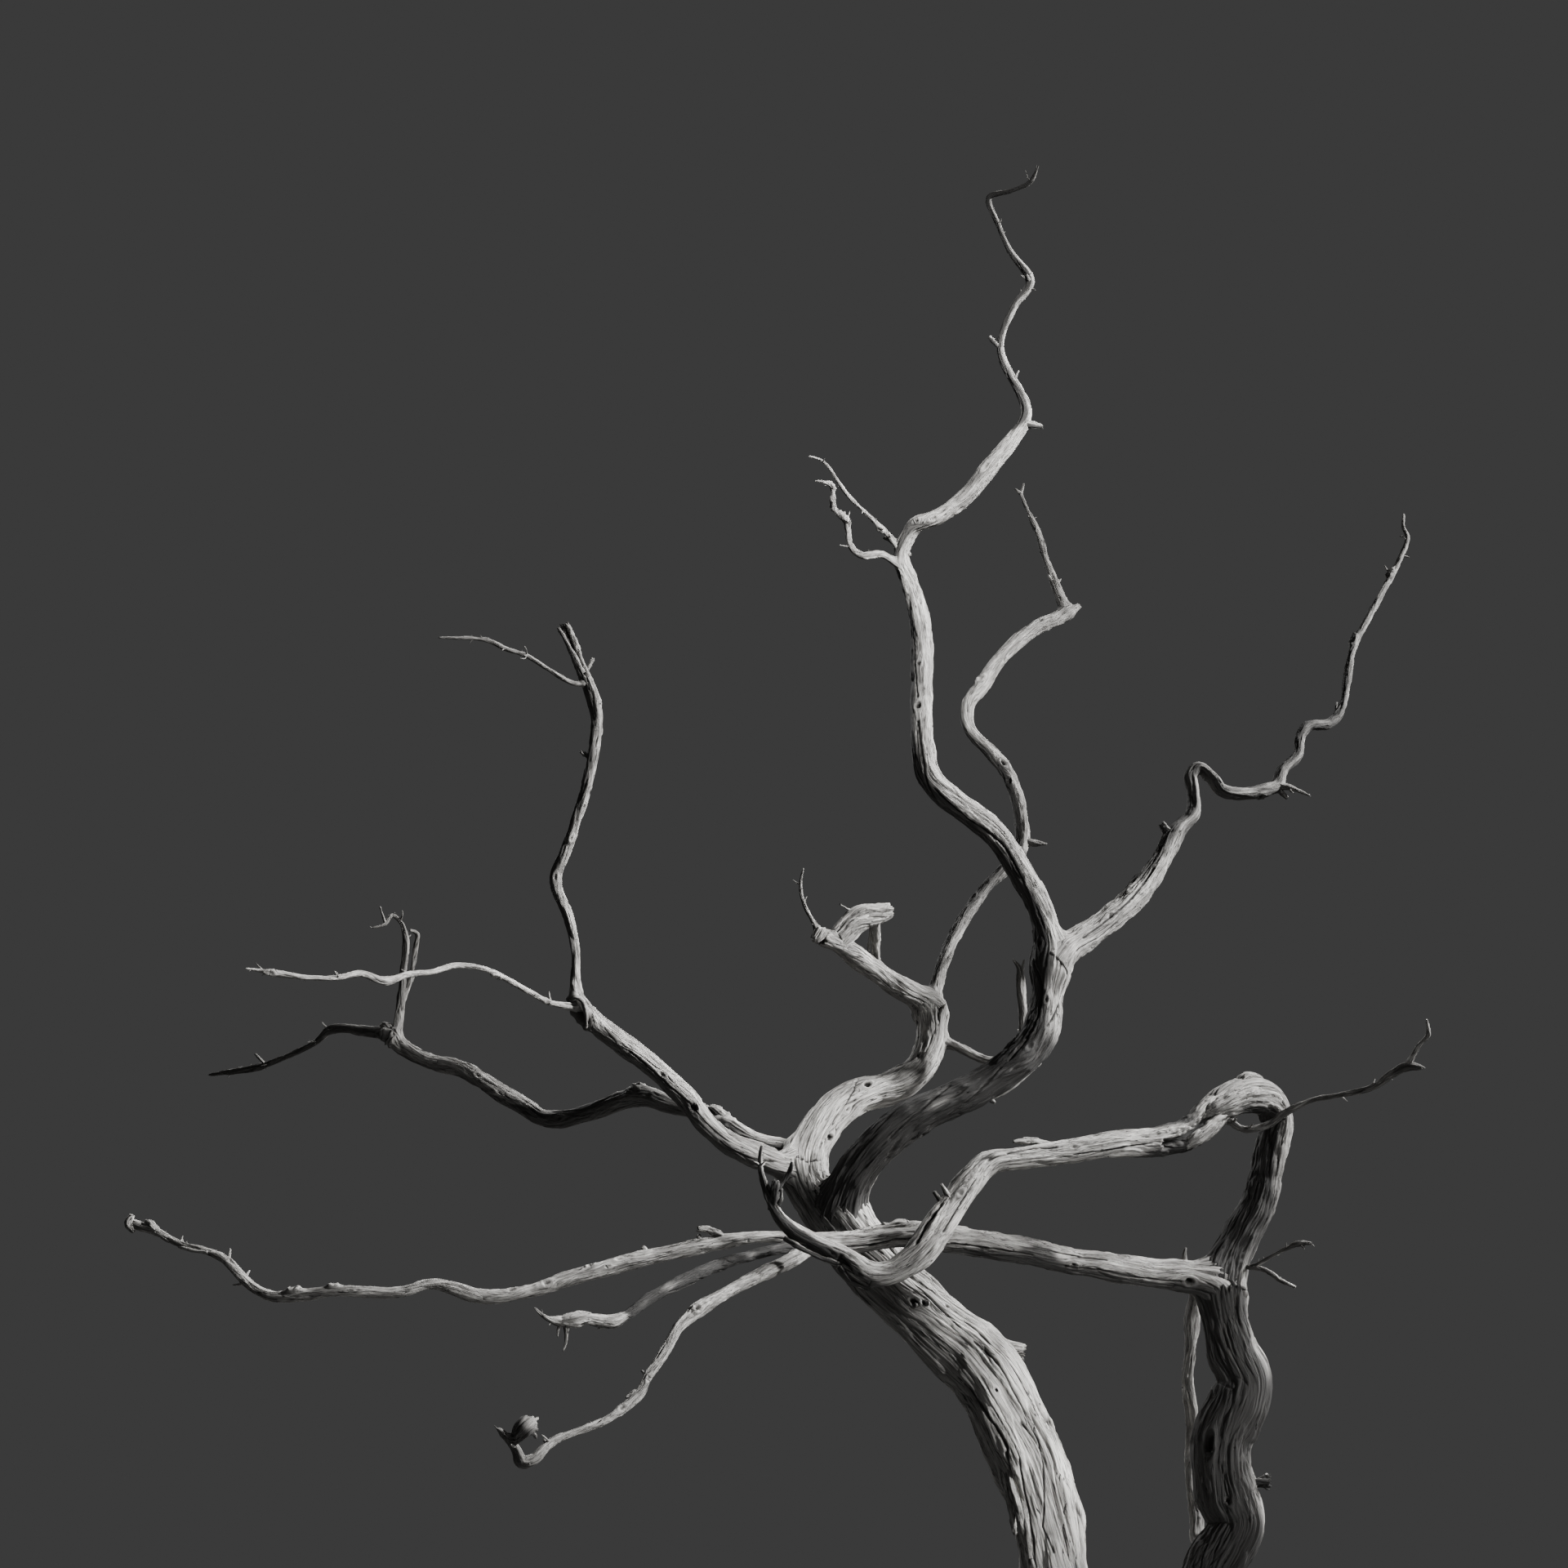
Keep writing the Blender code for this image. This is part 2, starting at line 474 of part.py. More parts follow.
def spurs(name, path, first, last):
    """A twig's short spurs, at places that its own name seeds, each leaning towards its tip."""
    draw = random.Random(name)
    grown = []
    for _ in range(SPURS[name]):
        i = draw.randrange(first + 1, max(first + 2, last))
        heading = path.outward(i, draw.uniform(0, 2 * math.pi))
        heading = heading + path.tangents[i] * draw.uniform(*SPUR_LEAN)
        heading /= np.linalg.norm(heading)
        length = path.radii[i] + draw.uniform(*SPUR_LENGTH)
        thickness = max(THINNEST, path.radii[i] * SPUR_THICKNESS)
        points = [path.points[i], path.points[i] + heading * length]
        grown.append(Path(points, [thickness, THINNEST / 2], SPUR_SIDES))
    return grown


class Tree:
    """Builds the limbs one after another and cuts each root clear of the limbs that carry it."""

    def __init__(self):
        """Start with an empty tree."""
        self.spans = {}
        self.stand = bpy.data.objects.new("tree", None)
        bpy.context.scene.collection.objects.link(self.stand)

    def grown(self, name):
        """A slightly fatter copy of a finished span, to cut its neighbour with."""
        path, first, last, lobed, trim = self.spans[name]
        points, faces = tube(path, first, last, GROW, lobed, trim)
        return place(name + "_cutter", points, faces, path.points[first])

    def span(self, name, path, first, last, trim, lobed, seats):
        """Make one solid: a span of a path, its shoots and spurs, cut clear of its seats."""
        twig = name in SPURS
        shoots = [curve(bends)[0] for bends in SHOOTS.get(name, [])]
        if twig:
            shoots += spurs(name, path, first, last)
        points, faces = tube(path, first, last, 0.0, lobed, trim)
        thing = place(name, points, faces, path.points[first])
        pieces = []
        for number, shoot in enumerate(shoots):
            ends = tube(shoot, 0, len(shoot.points) - 1)
            pieces.append(place(f"{name}_shoot_{number}", *ends, shoot.points[0]))
        apply_boolean(thing, "UNION", pieces)
        apply_boolean(thing, "DIFFERENCE", [self.grown(seat) for seat in seats])
        keep_largest(thing)
        thing.data.shade_smooth()
        thing.data.set_sharp_from_angle(angle=SHARP_ANGLE)
        thing.data.materials.clear()
        thing.data.materials.append(wood(name, TWIG_WOOD if twig else BARE_WOOD))
        thing.parent = self.stand
        self.spans[name] = (path, first, last, lobed, trim)

    def limb(self, spans, seats=(), foot=()):
        """Make a limb of one or more spans, the first of them cut clear of the seats."""
        path, marks = curve([bend for bends in spans.values() for bend in bends], foot)
        knots = accumulate((len(bends) for bends in spans.values()), initial=len(foot))
        stops = [0] + [marks[knot - 1] for knot in list(knots)[1:]]
        for number, name in enumerate(spans):
            trim = (number > 0, number < len(spans) - 1)
            self.span(name, path, stops[number], stops[number + 1], trim,
                      name == "trunk_lower", () if number else seats)


def main():
    """Clear the scene and build the tree, limb by limb."""
    for thing in list(bpy.data.objects):
        bpy.data.objects.remove(thing)
    tree = Tree()
    tree.limb(TRUNK, foot=TRUNK_FOOT)
    tree.limb(STEM, ["trunk_lower"], foot=STEM_FOOT)
    tree.limb(TALL_BOUGH, ["trunk_upper", "trunk_neck"])
    tree.limb(TALL_TWIG_HIGH, ["bough_tall_4", "bough_tall_5"])
    tree.limb(TALL_TWIG_LOW, ["bough_tall_4"])
    tree.limb(RIGHT_BOUGH, ["bough_tall_2", "bough_tall_3"])
    tree.limb(RIGHT_TWIG, ["bough_right_3", "bough_right_4"])
    tree.limb(HOOKED_BOUGH, ["bough_pale_2"])
    tree.limb(HOOKED_TWIG, ["bough_hooked"])
    tree.limb(INNER_BOUGH, ["bough_pale_2", "bough_hooked"])
    tree.limb(INNER_TWIG, ["bough_inner_3"])
    tree.limb(CROTCH_TWIG, ["bough_pale_2"])
    tree.limb(LEFT_BOUGH, ["trunk_neck"])
    tree.limb(LEFT_TWIG_HIGH, ["bough_left_3"])
    tree.limb(LEFT_TWIG_LONG, ["bough_left_1", "bough_left_2"])
    tree.limb(FAR_BOUGH, ["trunk_neck", "bough_left_1", "bough_pale_1"])
    tree.limb(FAR_TWIG, ["bough_far_3", "twigs_far_end"])
    tree.limb(BEAM, ["stem_upper"])
    tree.limb(FRONT_BOUGH, ["beam"])
    tree.limb(LOW_BOUGH, ["beam", "bough_front_1"])
    tree.limb(DROOPING_BOUGH, ["beam", "bough_front_1", "bough_low_1"])
    tree.limb(ARCH, ["stem_upper", "beam"])
    tree.limb(ARCH_TWIG, ["arch_1", "arch_2"])
    tree.limb(HIND_LIMB, ["stem_lower"])
    tree.limb(STEM_TWIG, ["arch_1", "stem_upper"])


main()
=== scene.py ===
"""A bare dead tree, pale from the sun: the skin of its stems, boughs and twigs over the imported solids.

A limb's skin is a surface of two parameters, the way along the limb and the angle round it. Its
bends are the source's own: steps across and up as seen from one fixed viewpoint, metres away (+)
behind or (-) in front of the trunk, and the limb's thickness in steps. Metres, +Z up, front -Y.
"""
import logging
import math
import random
from dataclasses import dataclass, field, replace
from enum import Enum
from itertools import accumulate, product
from typing import ClassVar

import bpy
import numpy as np
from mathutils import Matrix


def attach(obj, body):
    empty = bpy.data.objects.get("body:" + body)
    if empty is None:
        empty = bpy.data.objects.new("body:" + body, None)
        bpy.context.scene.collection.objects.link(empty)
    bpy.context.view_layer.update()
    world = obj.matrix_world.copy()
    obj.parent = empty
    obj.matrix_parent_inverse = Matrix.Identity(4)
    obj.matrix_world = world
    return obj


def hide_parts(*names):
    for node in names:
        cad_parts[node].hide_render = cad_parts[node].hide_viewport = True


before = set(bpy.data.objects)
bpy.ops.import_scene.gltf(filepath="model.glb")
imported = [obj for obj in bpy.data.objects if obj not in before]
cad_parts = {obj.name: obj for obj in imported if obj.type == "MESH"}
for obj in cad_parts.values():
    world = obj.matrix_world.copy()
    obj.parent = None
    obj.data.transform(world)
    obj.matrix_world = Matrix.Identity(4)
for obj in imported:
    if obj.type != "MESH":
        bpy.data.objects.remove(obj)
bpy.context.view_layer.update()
LOG = logging.getLogger("dead_tree")

Bend = tuple[float, float, float, float]
Spans = dict[str, list[Bend]]
Rows = list[tuple[float, ...]]
Triple = tuple[float, float, float]
Placed = tuple[float, float, float, float, float]
Names = dict[str, list[str]]
Lines = dict[str, list[Rows]]

THINNEST = 0.004             # smallest radius of a twig's tip
COARSE = (0.17, 1.6)         # the solids' ring spacing, in metres and in radii
FINE = 0.006                 # spacing of the samples that a skin is drawn from
PITCH = 0.08                 # the grain's pitch is this times the root of the limb's radius
SUNWARD = (0.85, -0.19, 0.49)    # towards the photo's sun
SUNNED = -0.35               # cosine of the angle to the sun at which painted shade usually begins
SOFT_EDGE = 0.3              # half the width of that border, and how ragged noise makes it
BACK = (-0.1, 0.5)           # how far a skin faces +Y, away from view, where its painted shade evens out
HOLE_DEPTH = 1.0             # from this depth on, a knot is an open hole with steep sides


def table(**rows: list) -> dict:
    """A dataclass field that starts as a copy of the named rows."""
    return field(default_factory=lambda: dict(rows))


def ramp(low: float, high: float, value: np.ndarray) -> np.ndarray:
    """Smooth step from 0 at low to 1 at high: 3t^2 - 2t^3 of the clipped share t."""
    share = np.clip((value - low) / (high - low), 0.0, 1.0)
    return share * share * (3.0 - 2.0 * share)


class GradientNoise:
    """Seeded gradient noise, about -1 to 1, worked out for whole arrays of points."""

    def __init__(self, seed: int) -> None:
        """Draw the order of the lattice's cells and their slopes.

        Args:
            seed: the drawing's seed.
        """
        draw = np.random.default_rng(seed)
        self.order = np.tile(draw.permutation(256), 2)
        slopes = draw.normal(size=(256, 3))
        self.slopes = (slopes / np.linalg.norm(slopes, axis=1)[:, None]).astype(np.float32)

    def __call__(self, x: np.ndarray, y: np.ndarray, z: np.ndarray) -> np.ndarray:
        """Mix the slopes at the eight corners of each point's cell by smooth weights.

        Args:
            x: first coordinates, in cells.
            y: second coordinates.
            z: third coordinates.

        Returns:
            The noise, in the arrays' common shape.
        """
        places = [np.asarray(v, np.float32) for v in np.broadcast_arrays(x, y, z)]
        cells = [np.floor(v).astype(np.int32) for v in places]
        parts = [v - c for v, c in zip(places, cells)]
        eased = [p * p * p * (p * (p * 6 - 15) + 10) for p in parts]
        total = np.zeros(places[0].shape, np.float32)
        for corner in product((0, 1), repeat=3):
            i, j, k = ((c + o) & 255 for c, o in zip(cells, corner))
            slope = self.slopes[self.order[self.order[self.order[i] + j] + k]]
            value = sum(slope[..., n] * (parts[n] - corner[n]) for n in range(3))
            for n in range(3):
                value = value * (eased[n] if corner[n] else 1 - eased[n])
            total += value
        return total * 1.6


NOISE = GradientNoise(5)


@dataclass(frozen=True)
class Viewpoint:
    """The fixed viewpoint in front of the tree, where the bends are seen from and the camera stands.

    Attributes:
        eye: where it is.
        tilt: how far it looks up.
        reach: the distance at which a step has its nominal size.
        step: that size in metres.
        middle: steps across and up of what lies straight ahead.
        lens: the camera's focal length in millimetres.
        sensor: the width of its frame in millimetres.
    """

    eye: Triple = (-1.32, -12.03, 1.0)
    tilt: float = math.radians(20)
    reach: float = 12.8
    step: float = 0.004
    middle: tuple[float, float] = (-330, 960)
    lens: float = 60.0
    sensor: float = 36.0

    def sighted(self, bends: Rows) -> np.ndarray:
        """Turn bends into world places and radii.

        Args:
            bends: rows of steps across, steps up, metres away and steps thick.

        Returns:
            Rows of x, y, z and radius. A step is an angle, so sizes grow with the distance.
        """
        across, up, away, thick = np.array(bends, float).reshape(-1, 4).T
        slope = self.step / self.reach
        u = (across - self.middle[0]) * slope
        v = (up - self.middle[1]) * slope
        reach = (away - self.eye[1]) / (math.cos(self.tilt) - v * math.sin(self.tilt))
        x = self.eye[0] + u * reach
        z = self.eye[2] + reach * (math.sin(self.tilt) + v * math.cos(self.tilt))
        return np.column_stack([x, away, z, np.maximum(THINNEST, 0.5 * thick * slope * reach)])

    def seen(self, points: np.ndarray) -> tuple[np.ndarray, np.ndarray]:
        """Find where points show.

        Args:
            points: world points.

        Returns:
            Steps across and up for each point, and the size of a step at it in metres.
        """
        shift = points - np.array(self.eye)
        depth = shift[:, 1] * math.cos(self.tilt) + shift[:, 2] * math.sin(self.tilt)
        rise = shift[:, 2] * math.cos(self.tilt) - shift[:, 1] * math.sin(self.tilt)
        size = depth * self.step / self.reach
        flat = np.column_stack([shift[:, 0] / size + self.middle[0], rise / size + self.middle[1]])
        return flat, size


VIEW = Viewpoint()


class Path:
    """Samples along a limb: places, radii, tangents and the two axes of each ring."""

    def __init__(self, points: np.ndarray, radii: np.ndarray) -> None:
        """Carry the first ring's axes along the samples without twist.

        Args:
            points: the samples' places.
            radii: their radii.
        """
        self.points = np.asarray(points, float)
        self.radii = np.asarray(radii, float)
        ahead = np.diff(self.points, axis=0)
        lengths = np.linalg.norm(ahead, axis=1)
        self.arc = np.concatenate([[0.0], np.cumsum(lengths)])
        ahead /= lengths[:, None]
        tangents = np.vstack([ahead[:1], ahead[:-1] + ahead[1:], ahead[-1:]])
        self.tangents = tangents / np.linalg.norm(tangents, axis=1)[:, None]
        side = np.cross(self.tangents[0], (0.0, 1.0, 0.0))
        if np.linalg.norm(side) < 0.3:               # a limb that starts along Y
            side = np.cross(self.tangents[0], (1.0, 0.0, 0.0))
        normals = []
        for tangent in self.tangents:
            side = side - tangent * np.dot(side, tangent)
            side = side / np.linalg.norm(side)
            normals.append(side)
        self.normals = np.array(normals)
        self.binormals = np.cross(self.tangents, self.normals)
        grain = np.concatenate([[0.0], np.cumsum(lengths / np.sqrt(self.radii[1:]))])
        self.grain = grain / PITCH

    @classmethod
    def through(cls, knots: np.ndarray, spacing: float, stretch: float) -> tuple["Path", list[int]]:
        """Run a centripetal curve through knots.

        Args:
            knots: rows of x, y, z and radius.
            spacing: the samples' distance in metres.
            stretch: their distance in radii, where that is more.

        Returns:
            The path, and each knot's sample. Between knots 1 and 2 of four, the curve mixes the
            lines through neighbours by time twice and then once more, with times that grow by the
            root of the distance.
        """
        padded = np.vstack([knots[:1], knots, knots[-1:]])
        steps = np.linalg.norm(np.diff(padded[:, :3], axis=0), axis=1)
        times = np.maximum(1e-6, steps) ** 0.5
        samples = [knots[0][None]]
        marks = [0]
        for i in range(len(knots) - 1):
            count = max(1, round(steps[i + 1] / max(spacing, knots[i][3] * stretch)))
            clock = np.concatenate([[0.0], np.cumsum(times[i:i + 3])])
            t = clock[1] + (clock[2] - clock[1]) * np.arange(1, count + 1)[:, None] / count
            layer = [row[None] for row in padded[i:i + 4]]
            for level in (1, 2):
                layer = [
                    (layer[j] * (clock[j + level] - t) + layer[j + 1] * (t - clock[j]))
                    / (clock[j + level] - clock[j])
                    for j in range(len(layer) - 1)
                ]
            samples.append((layer[0] * (clock[2] - t) + layer[1] * (t - clock[1])) / (clock[2] - clock[1]))
            marks.append(marks[-1] + count)
        rows = np.vstack(samples)
        return cls(rows[:, :3], rows[:, 3]), marks

    def outward(self, i: int, angle: float) -> np.ndarray:
        """Unit vector out of the limb at a sample and an angle round it."""
        return self.normals[i] * math.cos(angle) + self.binormals[i] * math.sin(angle)

    def radius_at(self, along: float) -> float:
        """Radius at one way along."""
        return float(np.interp(along, self.arc, self.radii))

    def column(self, values: np.ndarray, along: np.ndarray) -> np.ndarray:
        """Read values between samples.

        Args:
            values: a number or a vector for each sample.
            along: ways along the limb, in metres.

        Returns:
            The values there, in straight lines from sample to sample.
        """
        if values.ndim == 1:
            return np.interp(along, self.arc, values)
        return np.stack([np.interp(along, self.arc, values[:, n]) for n in range(3)], -1)

    def distance(self, points: np.ndarray, part: slice) -> np.ndarray:
        """How far points lie from the limb's smooth skin.

        Args:
            points: an array of points.
            part: the samples that count.

        Returns:
            The least distance to the rods between samples, less the rod's radius there.
        """
        ends, thick = self.points[part], self.radii[part]
        rod = np.diff(ends, axis=0)
        shift = points[..., None, :] - ends[:-1]
        share = np.clip((shift * rod).sum(-1) / (rod * rod).sum(-1), 0.0, 1.0)
        gap = np.linalg.norm(shift - rod * share[..., None], axis=-1)
        return (gap - thick[:-1] - share * np.diff(thick)).min(-1)


class Tip(Enum):
    """How a limb ends."""

    TORN = "torn"
    FINE = "fine"


@dataclass(frozen=True)
class Knot:
    """A knot, knob or hole on a limb, placed by where it shows.

    Attributes:
        across: steps across, as seen.
        up: steps up.
        size: how wide it is, in steps.
        bump: height of its rim, in shares of its radius.
        depth: depth of its pit, in the same.
    """

    across: float
    up: float
    size: float
    bump: float = 0.3
    depth: float = 0.6


@dataclass(frozen=True)
class Groove:
    """A crack or channel in a limb, placed by the line that it shows as.

    Attributes:
        line: steps across and up of points along it, as seen.
        width: how wide it is, in steps.
        depth: how deep, in shares of half its width.
    """

    line: tuple[tuple[float, float], ...]
    width: float
    depth: float = 1.0


@dataclass
class Skin:
    """A closed grid of points with its faces and the values that its finish reads.

    Attributes:
        points: places of the points.
        quads: four points for each face between rings.
        fans: three points for each face at the poles.
        grain: coordinates of the wood's grain at each point.
        hollow: how far down a pit or crack each point is, from 0 to 1; the finish paints shade by it.
        tone: how pale the wood is at each point, painted shade included.
    """

    points: np.ndarray
    quads: np.ndarray
    fans: np.ndarray
    grain: np.ndarray
    hollow: np.ndarray
    tone: np.ndarray

    @classmethod
    def joined(cls, skins: list["Skin"]) -> "Skin":
        """Put several skins into one.

        Args:
            skins: the skins.

        Returns:
            One skin, in which the faces of each count on from the points before its own.
        """
        starts = [0, *accumulate(len(skin.points) for skin in skins)]
        values = {name: np.concatenate([getattr(skin, name) for skin in skins])
                  for name in ("points", "grain", "hollow", "tone")}
        faces = {name: np.concatenate([getattr(skin, name) + start for skin, start in zip(skins, starts)])
                 for name in ("quads", "fans")}
        return cls(**values, **faces)

    def mesh(self, name: str) -> bpy.types.Object:
        """Put the skin into a smooth-shaded mesh object.

        Args:
            name: the piece's name.

        Returns:
            The new object, at the origin.
        """
        mesh = bpy.data.meshes.new(name)
        corners = np.concatenate([self.quads.ravel(), self.fans.ravel()]).astype(np.int32)
        starts = np.concatenate([
            np.arange(len(self.quads)) * 4,
            len(self.quads) * 4 + np.arange(len(self.fans)) * 3]).astype(np.int32)
        mesh.vertices.add(len(self.points))
        mesh.vertices.foreach_set("co", self.points.astype(np.float32).ravel())
        mesh.loops.add(len(corners))
        mesh.loops.foreach_set("vertex_index", corners)
        mesh.polygons.add(len(starts))
        mesh.polygons.foreach_set("loop_start", starts)
        mesh.update(calc_edges=True)
        mesh.validate()
        mesh.shade_smooth()
        for kind, label, values in (("FLOAT_VECTOR", "grain", self.grain),
                                    ("FLOAT", "hollow", self.hollow),
                                    ("FLOAT", "tone", self.tone)):
            attribute = mesh.attributes.new(label, kind, "POINT")
            key = "vector" if kind == "FLOAT_VECTOR" else "value"
            attribute.data.foreach_set(key, values.astype(np.float32).ravel())
        thing = bpy.data.objects.new(name, mesh)
        bpy.context.scene.collection.objects.link(thing)
        return thing


@dataclass(frozen=True)
class Relief:
    """How strongly weather and growth have shaped a limb, how pale it is, and how dark its painted shade is.
    """

    flute: float = 0.15        # broad ridges along the limb, of the radius
    lump: float = 0.11         # slow swellings, of the radius
    fissure: float = 0.42      # deep cracks along the grain, of the pitch
    plate: float = 0.22        # ledges where a layer has torn off, of the pitch
    thin: float = 0.15         # thin cracks between those, of the pitch
    fibre: float = 0.09        # fine ridges, of the pitch
    twist: float = 0.35        # turn of the grain, in radians a metre
    tone: float = 1.0          # how pale the wood is; raised on some limbs as painted light, lowered on others as painted shade
    shade_share: float = 0.55      # share of that on the side turned from the sun, as painted shade


TORN = Relief(flute=0.2, lump=0.2, fissure=0.6, plate=0.45)   # stubs, slabs and slivers
HALF_SHADED = Relief(tone=0.85, shade_share=0.35)                        # thin twigs, darker all over as painted half shade


@dataclass(frozen=True)
class Weave:
    """One noise over the grain.

    Attributes:
        across: how many of its cells there are to a pitch, round the limb.
        along: how many pitches to a cell, along it.
        shift: where in the noise it starts, round and along the limb.
    """

    across: float
    along: float
    shift: Triple = (0, 0, 0)

    def over(self, grain: list[np.ndarray]) -> np.ndarray:
        """Work the noise out.

        Args:
            grain: the grain's three coordinates.

        Returns:
            The noise there, about -1 to 1.
        """
        x, y, z = grain
        return NOISE(x * self.across + self.shift[0], y * self.across + self.shift[1],
                     z / self.along + self.shift[2])


FLUTES = Weave(0.22, 40)
LUMPS = Weave(0.12, 9, (9, 0, 0))
BUMPS = Weave(0.3, 3.5, (5, 0, 0))
SHADES = Weave(0.3, 13, (0, 5, 0))
FISSURES = Weave(0.62, 27, (0, 2, 0))
FISSURED = Weave(0.35, 11, (3, 0, 7))       # where fissures show
THIN_CRACKS = Weave(1.5, 15, (4, 0, 0))
CRACKED = Weave(0.6, 7, (6, 0, 1))          # where thin cracks show
PLATES = Weave(0.55, 11, (0, 8, 0))
SMALL_PLATES = Weave(1.1, 8, (1, 8, 0))
FIBRES = Weave(2.8, 9)
FINE_FIBRES = Weave(5.6, 6)
RAGGED = Weave(1.1, 2, (0, 4, 0))           # bends the rims of knots and grooves
ROUGH = Weave(2.6, 1.2, (0, 4, 0))          # breaks them up
SUN_EDGE = Weave(0.5, 9, (0, 3, 0))         # bends the border of the bleached side


def turned(angle: np.ndarray | float) -> np.ndarray | float:
    """The same angle between minus and plus half a turn."""
    return (angle + math.pi) % (2 * math.pi) - math.pi


def bell(value: np.ndarray, middle: float, width: float) -> np.ndarray:
    """Bell curve of height 1 round a middle: e to the minus square of the distance in widths."""
    return np.exp(-((value - middle) / width) ** 2)


@dataclass
class Limb:
    """One tapering limb: spans of bends along one smooth path, and everything on its skin.

    Attributes:
        name: seeds its noise and its small knots.
        spans: bends of each of the solids that it stands for, root to tip.
        seats: the spans of other limbs that its root sits in.
        foot: world places and radii before the first bend.
        knots: its knots and holes.
        grooves: its cracks and channels.
        sunned: spots across and up, and the cosine to the sun at which painted shade begins there.
        relief: how weathered it is, how pale, and how dark its painted shade.
        tip: how it ends.
        flare: a root flare's share of the radius, its height, its count of lobes and their turn.
        joined: the limbs that it meets.
    """

    name: str
    spans: Spans
    seats: tuple[str, ...] = ()
    foot: Rows = field(default_factory=list)
    knots: tuple[Knot, ...] = ()
    grooves: tuple[Groove, ...] = ()
    sunned: tuple[Triple, ...] = ()
    relief: Relief = Relief()
    tip: Tip = Tip.TORN
    flare: tuple[float, float, int, float] = (0.0, 1.0, 5, 0.0)
    joined: list["Limb"] = field(default_factory=list)

    OVAL: ClassVar[float] = 1.9            # a knot is this much longer than wide
    ROUND: ClassVar[float] = 1.2           # and an open hole this much
    WEB: ClassVar[float] = 1.15            # reach of the web at a fork, in radii of its branch
    COLLAR: ClassVar[float] = 0.12         # metres along the branch where that radius is taken
    SETTLINGS: ClassVar[int] = 5           # steps in which a web finds its height
    LAP: ClassVar[float] = 0.6             # overlap of two spans' skins, in radii
    TUCK: ClassVar[float] = 0.10           # how far the overlap narrows, in radii
    SIDES: ClassVar[tuple[int, int]] = (12, 330)                # fewest and most round a limb
    RING_GAP: ClassVar[tuple[float, float]] = (0.005, 0.0095)   # least and most between rings
    # rings inside a torn end: how far in, in radii of the end, how narrow and how dark, the darkness being
    # painted shade inside the break
    BREAK: ClassVar[tuple[Triple, ...]] = (
        (0.10, 0.80, 0.5), (0.4, 0.58, 0.9), (0.6, 0.34, 1.0), (0.6, 0.14, 1.0))

    def __post_init__(self) -> None:
        """Lay the path, find the spans' ends and place the knots and grooves."""
        bends = [bend for rows in self.spans.values() for bend in rows]
        self.knees = np.vstack([np.array(self.foot, float).reshape(-1, 4), VIEW.sighted(bends)])
        self.path, marks = Path.through(self.knees, FINE, 0.0)
        counts = list(accumulate((len(rows) for rows in self.spans.values()), initial=len(self.foot)))
        self.last_knee = dict(zip(self.spans, (count - 1 for count in counts[1:])))
        self.ends = {name: self.path.arc[marks[knee]] for name, knee in self.last_knee.items()}
        self.draw = random.Random(self.name)
        self.offset = np.array([self.draw.uniform(0, 200) for _ in range(3)])
        self.marks = [self.placed(knot) for knot in self.knots] + self.strewn()
        self.cuts = [([self.placed(Knot(*spot, groove.width)) for spot in groove.line], groove.depth)
                     for groove in self.grooves]

    def placed(self, knot: Knot) -> Placed:
        """Find where on the limb a knot is.

        Args:
            knot: the knot, placed by where it shows.

        Returns:
            Its way along, its angle, its radius, its bump and its depth. The limb's nearest
            sample gives the way along. The angle's sine is the share of the limb's half width
            that the knot lies aside of the middle, as seen from the viewpoint.
        """
        path = self.path
        flat, size = VIEW.seen(path.points)
        target = np.array([knot.across, knot.up])
        i = int(np.argmin(np.linalg.norm(flat - target, axis=1)))
        to_eye = np.array(VIEW.eye) - path.points[i]
        to_eye -= path.tangents[i] * np.dot(to_eye, path.tangents[i])
        to_eye /= np.linalg.norm(to_eye)
        side = np.cross(path.tangents[i], to_eye)
        shown = VIEW.seen(np.array([path.points[i], path.points[i] + side * path.radii[i]]))[0]
        reach = shown[1] - shown[0]
        share = float(np.clip(np.dot(target - shown[0], reach) / np.dot(reach, reach), -0.95, 0.95))
        out = to_eye * math.sqrt(1 - share * share) + side * share
        angle = math.atan2(np.dot(out, path.binormals[i]), np.dot(out, path.normals[i]))
        return path.arc[i], angle, 0.5 * knot.size * size[i], knot.bump, knot.depth

    def sunline(self, along: np.ndarray | float) -> np.ndarray:
        """Find where the painted shade begins.

        Args:
            along: metres along the limb.

        Returns:
            Cosines of the angle to the sun there, in straight lines between the sunned spots.
        """
        spots = [(self.placed(Knot(across, up, 1.0))[0], level) for across, up, level in self.sunned]
        return np.interp(along, *zip(*spots)) if spots else np.full(np.shape(along), SUNNED)

    def painted_shade(self, along: np.ndarray, out: np.ndarray, grain: np.ndarray) -> np.ndarray:
        """Painted shade: the share of its paleness that the wood shows, less where it is turned from the sun.

        Args:
            along: metres along the limb.
            out: unit vectors out of the limb.
            grain: the grain's coordinates.

        Returns:
            One on the side towards the sun and the relief's share, painted shade, on the other, with a
            smooth step between them that noise makes ragged. Where the sunned spots set the border high,
            the shade is a painted shadow. A darker limb's far side, out of view, is no darker than the
            rest of the tree.
        """
        ragged = SUN_EDGE.over(np.moveaxis(grain, -1, 0))
        level, facing = self.sunline(along), out @ np.array(SUNWARD) + SOFT_EDGE * ragged
        behind = ramp(*BACK, out[..., 1])
        share = self.relief.shade_share + (Relief.shade_share - self.relief.shade_share) * behind
        level = level + (SUNNED - level) * behind
        return share + (1 - share) * ramp(level - SOFT_EDGE, level + SOFT_EDGE, facing)

